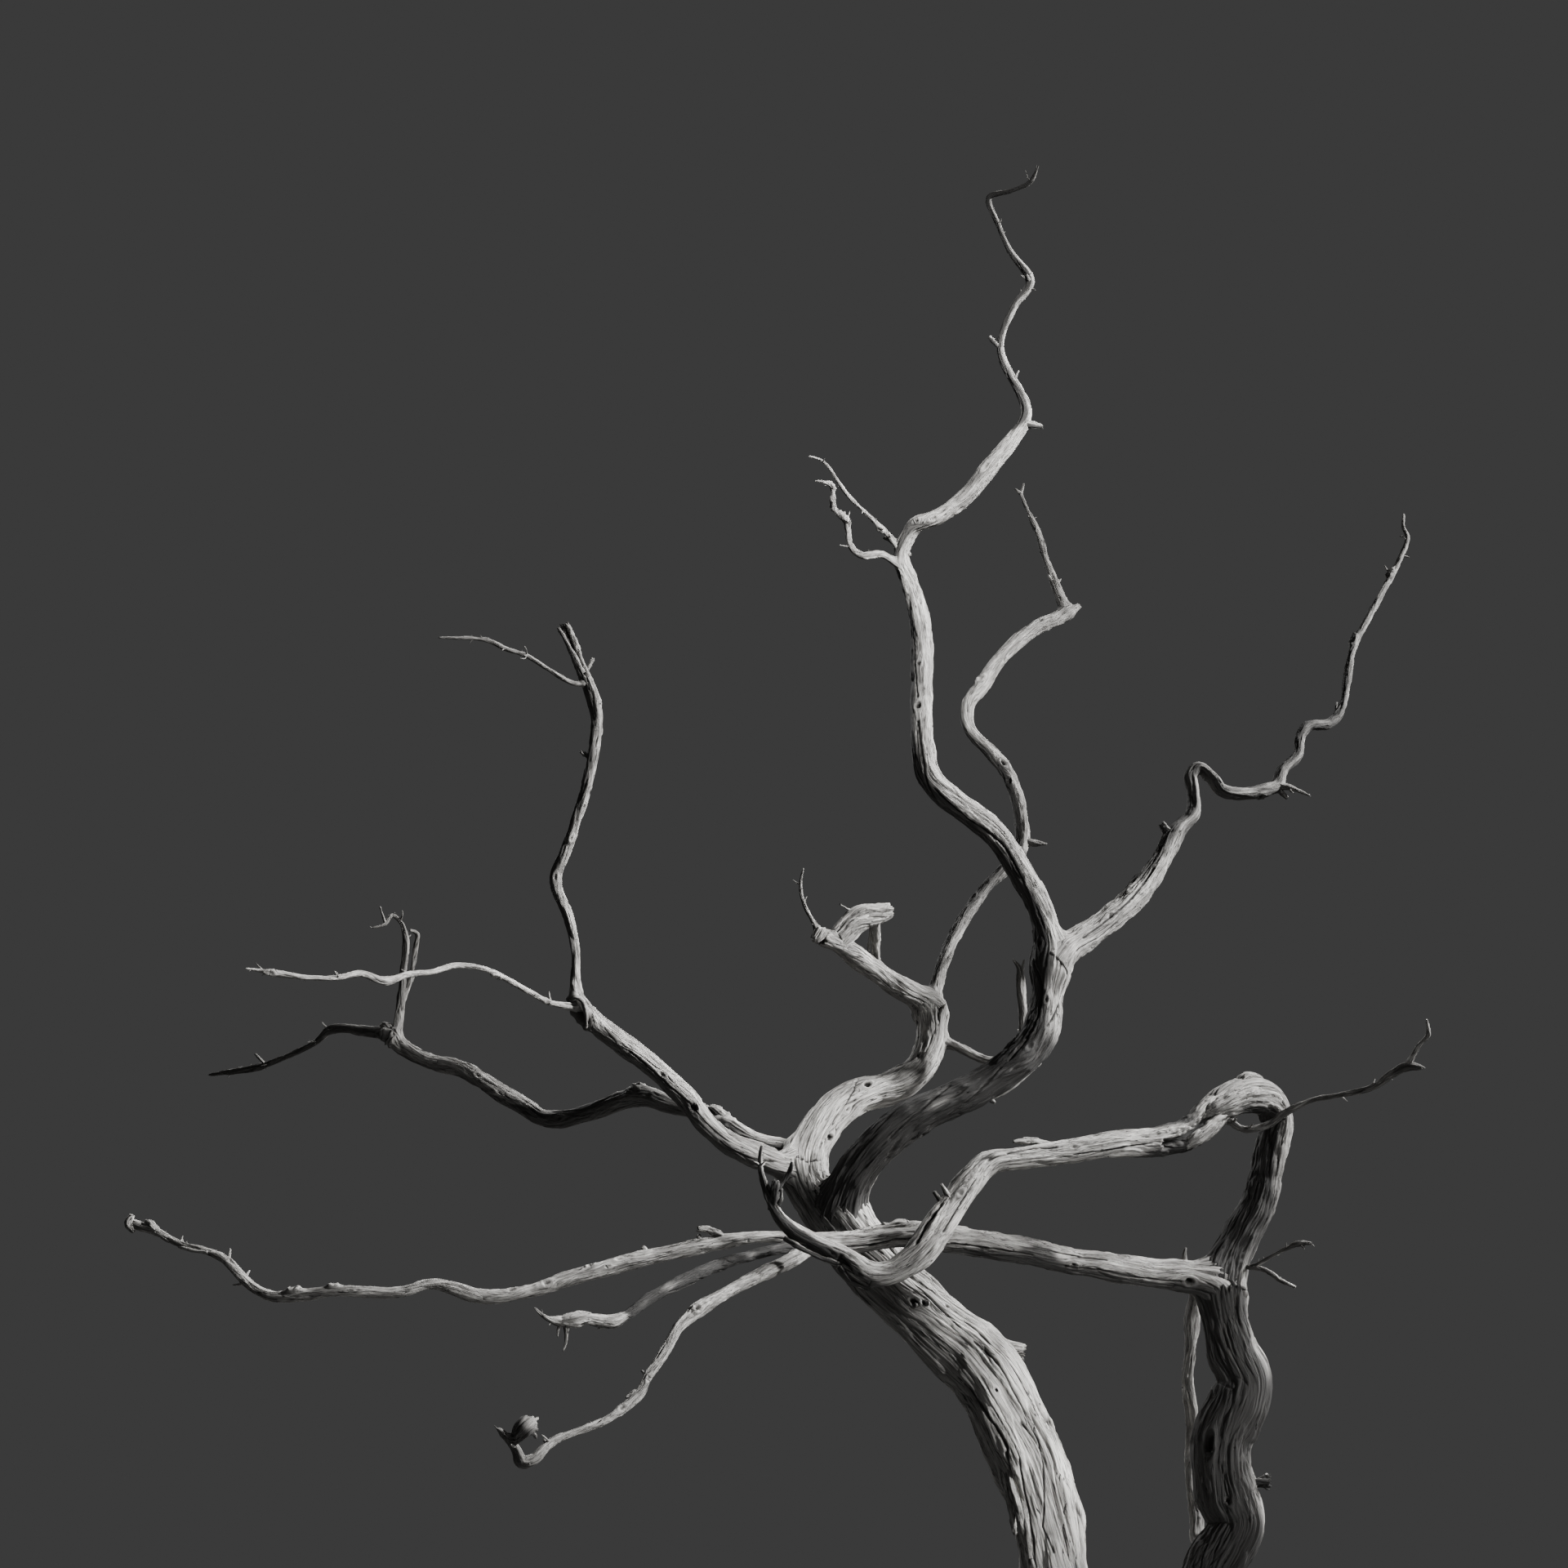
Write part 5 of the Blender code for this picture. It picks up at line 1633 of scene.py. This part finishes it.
    def limbs(self) -> list[Limb]:
        """Lay out the front bough, the far bough and their twigs.

        Returns:
            The limbs.
        """
        return [
            # painted shade set by the sunned spots, a painted shadow near the neck
            Limb("left_bough", self.left, ("trunk_neck",), knots=self.left_knots,
                 grooves=self.left_grooves, relief=Relief(shade_share=0.3),
                 sunned=((-300, 490, 0.45), (-370, 540, 0.45), (-430, 590, 0.1), (-560, 690, 0.0))),
            Limb("left_high_twig", self.high_twig, ("bough_left_3",), relief=HALF_SHADED, tip=Tip.FINE),
            Limb("left_long_twig", self.long_twig, ("bough_left_1", "bough_left_2"),
                 knots=self.long_knots, tip=Tip.FINE),
            # painted shade along the far bough, set by the sunned spots
            Limb("far_bough", self.far, ("trunk_neck", "bough_left_1", "bough_pale_1"),
                 knots=self.far_knots, relief=Relief(shade_share=0.3), tip=Tip.FINE,
                 sunned=((-330, 510, 0.0), (-470, 570, 0.5), (-635, 545, 0.5), (-665, 566, -0.6),
                         (-812, 638, -0.6), (-840, 656, 0.2))),
            Limb("far_twig", self.far_twig, ("bough_far_3", "twigs_far_end"), relief=HALF_SHADED,
                 tip=Tip.FINE),
        ]


@dataclass
class FrontBoughs(Branchwork):
    """The level beam from the right stem and the three boughs that it forks into."""

    pieces: Names = table(
        level_beam=["beam"],
        front_bough=["bough_front_1", "bough_front_2"],
        front_end_twigs=["twigs_front_end"],
        low_bough=["bough_low_1"],
        low_end_twigs=["twigs_low_end"],
        drooping_bough=["bough_droop_1", "bough_droop_2"],
        drooping_end_twigs=["twigs_droop_end"],
    )
    beam: Spans = table(
        beam=[(204, 338, -0.3, 44), (190, 352, -0.33, 42), (165, 357, -0.36, 37), (110, 362, -0.42, 35),
            (10, 378, -0.54, 31), (-40, 389, -0.6, 33), (-140, 404, -0.72, 31), (-180, 409, -0.77, 32),
            (-245, 399, -0.85, 29), (-310, 397, -0.94, 26)],
    )
    beam_knots: tuple[Knot, ...] = (
        Knot(-188, 424, 10, 0.3, 0.3), Knot(85, 382, 8), Knot(158, 352, 12, 0.25, 1.0), Knot(-90, 392, 7),
        Knot(20, 372, 8, 0.3, 0.9),
    )
    front: Spans = table(
        bough_front_1=[(-296, 399, -0.92, 16), (-340, 406, -0.98, 14), (-390, 402, -1.04, 16),
            (-450, 390, -1.1, 18), (-530, 372, -1.18, 20), (-590, 356, -1.24, 19), (-650, 337, -1.3, 16)],
        bough_front_2=[(-700, 332, -1.34, 17), (-760, 348, -1.38, 13), (-800, 338, -1.4, 13),
            (-880, 339, -1.42, 13), (-920, 334, -1.4, 15), (-960, 334, -1.38, 13)],
        twigs_front_end=[(-990, 352, -1.35, 11), (-1012, 376, -1.32, 12), (-1040, 389, -1.28, 8),
            (-1070, 397, -1.24, 8), (-1100, 412, -1.2, 10), (-1130, 421, -1.15, 13)],
    )
    beam_grooves: tuple[Groove, ...] = (
        Groove(((150, 352), (100, 356), (50, 366), (10, 370)), 4),
        Groove(((-30, 384), (-80, 392), (-130, 398)), 3),
        Groove(((-160, 402), (-210, 398), (-260, 392)), 4),
        Groove(((60, 378), (20, 384), (-30, 396)), 3),
    )
    front_knots: tuple[Knot, ...] = (
        Knot(-503, 390, 8), Knot(-533, 379, 7), Knot(-570, 371, 8), Knot(-547, 369, 6),
        Knot(-623, 348, 9, 0.3, 0.6), Knot(-665, 340, 7), Knot(-929, 343, 8, 0.8, 0),
        Knot(-880, 347, 6, 0.8, 0),
    )
    low: Spans = table(
        bough_low_1=[(-298, 396, -0.93, 14), (-345, 389, -1.03, 13), (-385, 379, -1.13, 14),
            (-420, 367, -1.22, 16), (-495, 330, -1.42, 15), (-525, 308, -1.5, 13)],
        twigs_low_end=[(-541, 302, -1.55, 16), (-575, 305, -1.65, 13), (-602, 302, -1.72, 14),
            (-620, 306, -1.78, 6), (-636, 319, -1.84, 3)],
    )
    drooping: Spans = table(
        bough_droop_1=[(-296, 392, -0.93, 16), (-325, 375, -1.04, 16), (-365, 356, -1.16, 17),
            (-405, 335, -1.3, 15), (-441, 313, -1.42, 17), (-460, 295, -1.5, 13)],
        bough_droop_2=[(-475, 268, -1.58, 14), (-498, 232, -1.69, 13), (-508, 213, -1.74, 13),
            (-527, 196, -1.8, 11)],
        twigs_droop_end=[(-552, 179, -1.88, 9), (-615, 154, -2.04, 10), (-638, 133, -2.1, 14),
            (-651, 131, -2.12, 15), (-658, 145, -2.14, 10), (-672, 163, -2.17, 8), (-682, 171, -2.2, 3)],
    )
    drooping_knots: tuple[Knot, ...] = (
        Knot(-441, 315, 9, 0.8, 0.8), Knot(-497, 230, 8), Knot(-532, 193, 8),
    )
    shoots: Lines = table(
        beam=[[(-195, 410, -0.8, 24), (-212, 418, -0.82, 12)]],
        bough_front_1=[[(-405, 404, -1.05, 9), (-424, 414, -1.1, 8), (-437, 415, -1.12, 6)]],
        twigs_low_end=[[(-597, 298, -1.71, 7), (-597, 280, -1.7, 4), (-601, 265, -1.7, 2)]],
        twigs_droop_end=[[(-663, 155, -2.15, 8), (-645, 172, -2.1, 12), (-635, 175, -2.08, 8)]],
    )
    slivers: Lines = table(
        bough_front_1=[[(-430, 400, 0, 7), (-436, 408, -0.01, 5)], [(-498, 384, 0, 8), (-504, 394, 0, 5)]],
        twigs_front_end=[
            [(-1126, 412, -0.01, 6), (-1133, 421, -0.02, 9), (-1127, 433, -0.02, 5)],
            [(-1096, 410, 0, 8), (-1105, 421, 0, 9), (-1112, 425, 0, 4)],
            [(-1035, 386, -0.01, 4), (-1060, 390, -0.02, 4), (-1072, 393, -0.01, 2)]],
        bough_droop_2=[
            [(-513, 216, 0, 6), (-520, 211, 0, 4), (-523, 208, 0, 2)],
            [(-499, 236, 0, 5), (-505, 242, 0, 3)]],
        twigs_droop_end=[
            [(-660, 156, 0, 10), (-650, 169, -0.01, 21), (-640, 174, -0.02, 17), (-633, 176, -0.01, 9)],
            [(-678, 166, 0, 4), (-664, 159, 0, 13), (-650, 165, 0, 13)],
            [(-641, 170, 0, 8), (-634, 161, 0, 5)],
            [(-640, 178, 0, 6), (-631, 184, 0, 2)],
            [(-622, 154, 0, 4), (-625, 158, 0, 2)]],
        twigs_low_end=[[(-604, 303, -0.01, 9), (-590, 306, -0.02, 19), (-570, 307, 0, 14)]],
    )
    spurs: dict[str, int] = table(twigs_front_end=4, twigs_low_end=2, twigs_droop_end=3)

    def limbs(self) -> list[Limb]:
        """Lay out the beam and its three forks.

        Returns:
            The limbs.
        """
        return [
            # painted shadow across the beam's middle, set by the sunned spots
            Limb("level_beam", self.beam, ("stem_upper",), knots=self.beam_knots,
                 grooves=self.beam_grooves, relief=Relief(shade_share=0.2),
                 sunned=((180, 345, 0.3), (120, 358, 0.1), (60, 372, 0.1), (10, 382, 0.3),
                         (-25, 388, 0.8), (-45, 392, 0.5), (-110, 400, -0.2))),
            Limb("front_bough", self.front, ("beam",), knots=self.front_knots),
            # painted shadow: dark wood but for its end
            Limb("low_bough", self.low, ("beam", "bough_front_1"),
                 knots=(Knot(-402, 373, 9, 0.2, 0.3),), relief=Relief(shade_share=0.12), tip=Tip.FINE,
                 sunned=((-298, 396, 0.9), (-520, 312, 0.9), (-548, 302, -0.3))),
            # painted shade set by the sunned spots, a painted shadow near the tip
            Limb("drooping_bough", self.drooping, ("beam", "bough_front_1", "bough_low_1"),
                 knots=self.drooping_knots, relief=Relief(shade_share=0.25), tip=Tip.FINE,
                 sunned=((-296, 392, 0.0), (-330, 372, -0.4), (-630, 140, -0.4), (-650, 131, 0.3),
                         (-660, 150, 0.7))),
        ]


@dataclass
class ArchBough(Branchwork):
    """The bough that arches over from the right stem's fork, and the twigs beside it."""

    pieces: Names = table(
        arch_rise=["arch_1", "arch_2"],
        arch_fall=["arch_3", "arch_4", "arch_5"],
        arch_end_twigs=["twigs_arch_tip"],
        arch_right_twigs=["twigs_arch_right"],
        stem_twigs=["twigs_stem"],
    )
    arch: Spans = table(
        arch_1=[(206, 346, -0.3, 48), (214, 374, -0.29, 48), (228, 402, -0.28, 46), (248, 440, -0.26, 43),
            (269, 518, -0.22, 39), (274, 548, -0.21, 39)],
        arch_2=[(264, 573, -0.24, 40), (243, 582, -0.29, 42), (218, 575, -0.35, 42), (165, 532, -0.5, 38),
            (125, 522, -0.58, 33)],
        arch_3=[(70, 519, -0.7, 31), (10, 509, -0.78, 29), (-45, 502, -0.86, 26), (-78, 496, -0.9, 29),
            (-100, 474, -0.93, 33), (-125, 442, -0.96, 36)],
        arch_4=[(-145, 412, -1.0, 40), (-168, 382, -1.04, 36), (-200, 362, -1.06, 28),
            (-228, 361, -1.08, 28)],
        arch_5=[(-250, 378, -1.1, 24), (-310, 407, -1.14, 21), (-338, 434, -1.17, 14)],
        twigs_arch_tip=[(-359, 492, -1.22, 6), (-357, 518, -1.24, 3)],
    )
    arch_knots: tuple[Knot, ...] = (
        Knot(-262, 383, 6, 0.2, 1.0), Knot(-235, 352, 12, 0.2, 0.8), Knot(20, 515, 7, 0.2, 0.5),
    )
    arch_grooves: tuple[Groove, ...] = (
        Groove(((128, 517), (152, 526), (172, 539), (188, 553), (214, 554)), 15, 1.0),
        Groove(((210, 370), (222, 400), (238, 440), (250, 470)), 3, 0.6),
        Groove(((-140, 438), (-160, 415), (-172, 392)), 5),
        Groove(((-100, 470), (-118, 440), (-140, 405)), 3),
        Groove(((-262, 378), (-248, 360), (-236, 350)), 10, 1.0),
        Groove(((-2, 515), (-30, 514), (-60, 508)), 4),
        Groove(((110, 520), (60, 510), (20, 505)), 3),
        Groove(((-320, 398), (-290, 384), (-264, 372)), 5),
    )
    arch_twig: Spans = table(
        twigs_arch_right=[(207, 564, -0.4, 14), (219, 545, -0.44, 10), (235, 537, -0.46, 9),
            (262, 543, -0.48, 8), (285, 558, -0.51, 8), (315, 572, -0.55, 6), (350, 579, -0.61, 6),
            (390, 588, -0.68, 8), (415, 605, -0.74, 10), (436, 614, -0.8, 11), (455, 612, -0.83, 6)],
    )
    stem_twig: Spans = table(
        twigs_stem=[(216, 368, -0.3, 8), (240, 369, -0.36, 5), (285, 391, -0.48, 5), (302, 397, -0.53, 8),
            (316, 397, -0.56, 3)],
    )
    shoots: Lines = table(
        twigs_arch_tip=[[(-343, 447, -1.18, 8), (-333, 461, -1.16, 4)]],
        twigs_arch_right=[
            [(434, 615, -0.8, 7), (447, 640, -0.85, 5), (458, 653, -0.88, 5), (457, 673, -0.92, 2)]],
        twigs_stem=[[(238, 369, -0.36, 5), (258, 366, -0.4, 5), (275, 354, -0.44, 5), (297, 343, -0.48, 3)]],
    )
    slivers: Lines = table(
        arch_2=[
            [(178, 549, -0.02, 12), (200, 560, -0.06, 24), (232, 572, -0.08, 30), (262, 570, -0.07, 28),
                (282, 552, -0.04, 20)],
            [(212, 562, -0.02, 10), (196, 541, -0.06, 15), (172, 523, -0.06, 14), (160, 516, -0.04, 8)],
            [(226, 586, 0, 16), (233, 598, 0, 17), (250, 598, 0, 14), (256, 592, 0, 10)]],
        arch_3=[
            [(-128, 438, -0.02, 7), (-142, 455, -0.045, 5), (-147, 462, -0.05, 4)],
            [(-121, 446, -0.04, 6), (-134, 463, -0.06, 5), (-138, 471, -0.07, 3)],
            [(4, 516, 0, 8), (-25, 523, -0.01, 7), (-50, 522, -0.02, 5)]],
        arch_4=[[(-262, 370, 0, 14), (-242, 354, 0.01, 17), (-222, 345, 0.01, 12)]],
        arch_5=[
            [(-345, 438, 0, 7), (-342, 458, -0.01, 11), (-340, 469, -0.01, 13), (-338, 476, -0.01, 9)],
            [(-337, 462, 0, 5), (-328, 478, 0.01, 5), (-322, 490, 0.01, 6), (-320, 498, 0.01, 2)],
            [(-340, 440, 0, 5), (-334, 452, -0.01, 4), (-333, 465, -0.01, 3)],
            [(-330, 404, -0.01, 6), (-298, 386, -0.03, 6), (-262, 372, -0.02, 5)]],
    )
    spurs: dict[str, int] = table(twigs_arch_tip=3, twigs_arch_right=4, twigs_stem=2)

    def limbs(self) -> list[Limb]:
        """Lay out the arch, the long twig on its right and the twig at the fork.

        Returns:
            The limbs.
        """
        return [
            # painted light: tone raised; the sunned spots paint a shadow on the rise and under the crest
            Limb("arch", self.arch, ("stem_upper", "beam"), knots=self.arch_knots,
                 grooves=self.arch_grooves, relief=Relief(tone=1.1, shade_share=0.14),
                 sunned=((206, 346, 0.7), (260, 480, 0.6), (275, 550, 0.1), (243, 582, -0.5),
                         (200, 562, -0.4), (165, 532, 0.55), (125, 522, 0.55), (85, 519, -0.5),
                         (-125, 442, -0.5), (-200, 362, -0.2), (-268, 384, 0.2),
                         (-330, 420, 0.8))),
            # painted shade: tone lowered
            Limb("arch_twig", self.arch_twig, ("arch_1", "arch_2"), relief=Relief(tone=0.65),
                 tip=Tip.FINE),
            Limb("stem_twig", self.stem_twig, ("arch_1", "stem_upper"), relief=HALF_SHADED),
        ]


@dataclass(frozen=True)
class Lamp:
    """A square lamp.

    Attributes:
        place: where it hangs.
        aim: the point that it faces.
        size: the length of its side.
        spread: how wide its beam is, in degrees.
        power: its power in watts.
    """

    place: Triple
    aim: Triple
    size: float
    spread: float
    power: float

    def hang(self, name: str) -> None:
        """Put the lamp up, turned to its aim.

        Args:
            name: the lamp's name.
        """
        lamp = bpy.data.lights.new(name, "AREA")
        lamp.shape = "SQUARE"
        lamp.size = self.size
        lamp.spread = math.radians(self.spread)
        lamp.energy = self.power
        thing = bpy.data.objects.new(name, lamp)
        thing.location = self.place
        ahead = np.array(self.aim) - np.array(self.place)
        turn = math.atan2(-ahead[0], ahead[1])
        nod = math.atan2(math.hypot(ahead[0], ahead[1]), -ahead[2])
        thing.rotation_euler = (nod, 0.0, turn)
        bpy.context.scene.collection.objects.link(thing)


@dataclass
class Studio:
    """A pale floor under plain grey light, and the camera at the fixed viewpoint."""

    floor_size: float = 8.0
    floor_colour: tuple[float, ...] = (0.36, 0.36, 0.355, 1.0)
    floor_roughness: float = 0.9
    sky: tuple[float, ...] = (0.05, 0.05, 0.05, 1.0)
    lamps: tuple[Lamp, ...] = (
        Lamp((16.1, 0.3, 15.4), (-0.5, 0.0, 4.2), 1.5, 40.0, 535.0),      # main light
        Lamp((13.7, -8.0, 10.7), (-3.2, -0.2, 3.6), 1.5, 14.0, 66.0),     # left-hand boughs
        Lamp((14.9, -12.0, 5.4), (-0.65, 0.0, 2.1), 0.8, 6.0, 11.0),      # trunk
        Lamp((7.5, -17.5, 8.6), (-0.9, 0.6, 6.9), 1.5, 8.0, 46.0),        # top of the crown
        Lamp((10.2, -12.4, 15.1), (-1.17, -0.1, 3.95), 0.4, 1.9, 1.8),    # pale bough
        Lamp((-9.2, 13.9, 15.5), (-0.5, 0.0, 4.0), 4.0, 44.0, 150.0),     # the back
    )

    def floor(self) -> None:
        """Lay the floor."""
        half = self.floor_size / 2
        mesh = bpy.data.meshes.new("floor")
        mesh.from_pydata([(-half, -half, 0), (half, -half, 0), (half, half, 0), (-half, half, 0)],
                         [], [(0, 1, 2, 3)])
        thing = bpy.data.objects.new("floor", mesh)
        bpy.context.scene.collection.objects.link(thing)
        paint = Paint("pale_floor")
        paint.feed("Base Color", self.floor_colour)
        paint.feed("Roughness", self.floor_roughness)
        mesh.materials.append(paint.material)

    def light(self) -> None:
        """Set the even background light and hang the lamps."""
        world = bpy.data.worlds.new("plain_grey")
        world.use_nodes = True
        background = world.node_tree.nodes["Background"]
        background.inputs["Color"].default_value = self.sky
        bpy.context.scene.world = world
        for number, lamp in enumerate(self.lamps):
            lamp.hang(f"lamp_{number}")

    def camera(self) -> None:
        """Stand the camera at the viewpoint."""
        lens = bpy.data.cameras.new("camera")
        lens.lens = VIEW.lens
        lens.sensor_width = VIEW.sensor
        thing = bpy.data.objects.new("camera", lens)
        thing.location = VIEW.eye
        thing.rotation_euler = (math.pi / 2 + VIEW.tilt, 0.0, 0.0)
        bpy.context.scene.collection.objects.link(thing)
        bpy.context.scene.camera = thing

    def build(self) -> None:
        """Set up the floor, the light and the camera."""
        self.floor()
        self.light()
        self.camera()


def main() -> None:
    """Grow every limb, join each to the ones that carry it, draw the pieces and set the light."""
    logging.basicConfig(level=logging.INFO, format="%(message)s")
    works = [Stems(), TallBough(), RightBough(), PaleForks(), LeftBoughs(), FrontBoughs(), ArchBough()]
    woods = {
        "bare_wood": DryWood("bare_wood").material(),
        "twig_wood": DryWood("twig_wood", fibre=0.7, bump=0.0016).material(),
    }
    grown = {}
    limbs = [limb for work in works for limb in work.limbs()]
    for limb in limbs:
        grown.update(dict.fromkeys(limb.spans, limb))
    for limb in limbs:
        for host in {id(grown[seat]): grown[seat] for seat in limb.seats}.values():
            limb.joined.append(host)
            host.joined.append(limb)
    for work in works:
        work.build(grown, woods)
    Studio().build()


if __name__ == "__main__":
    main()
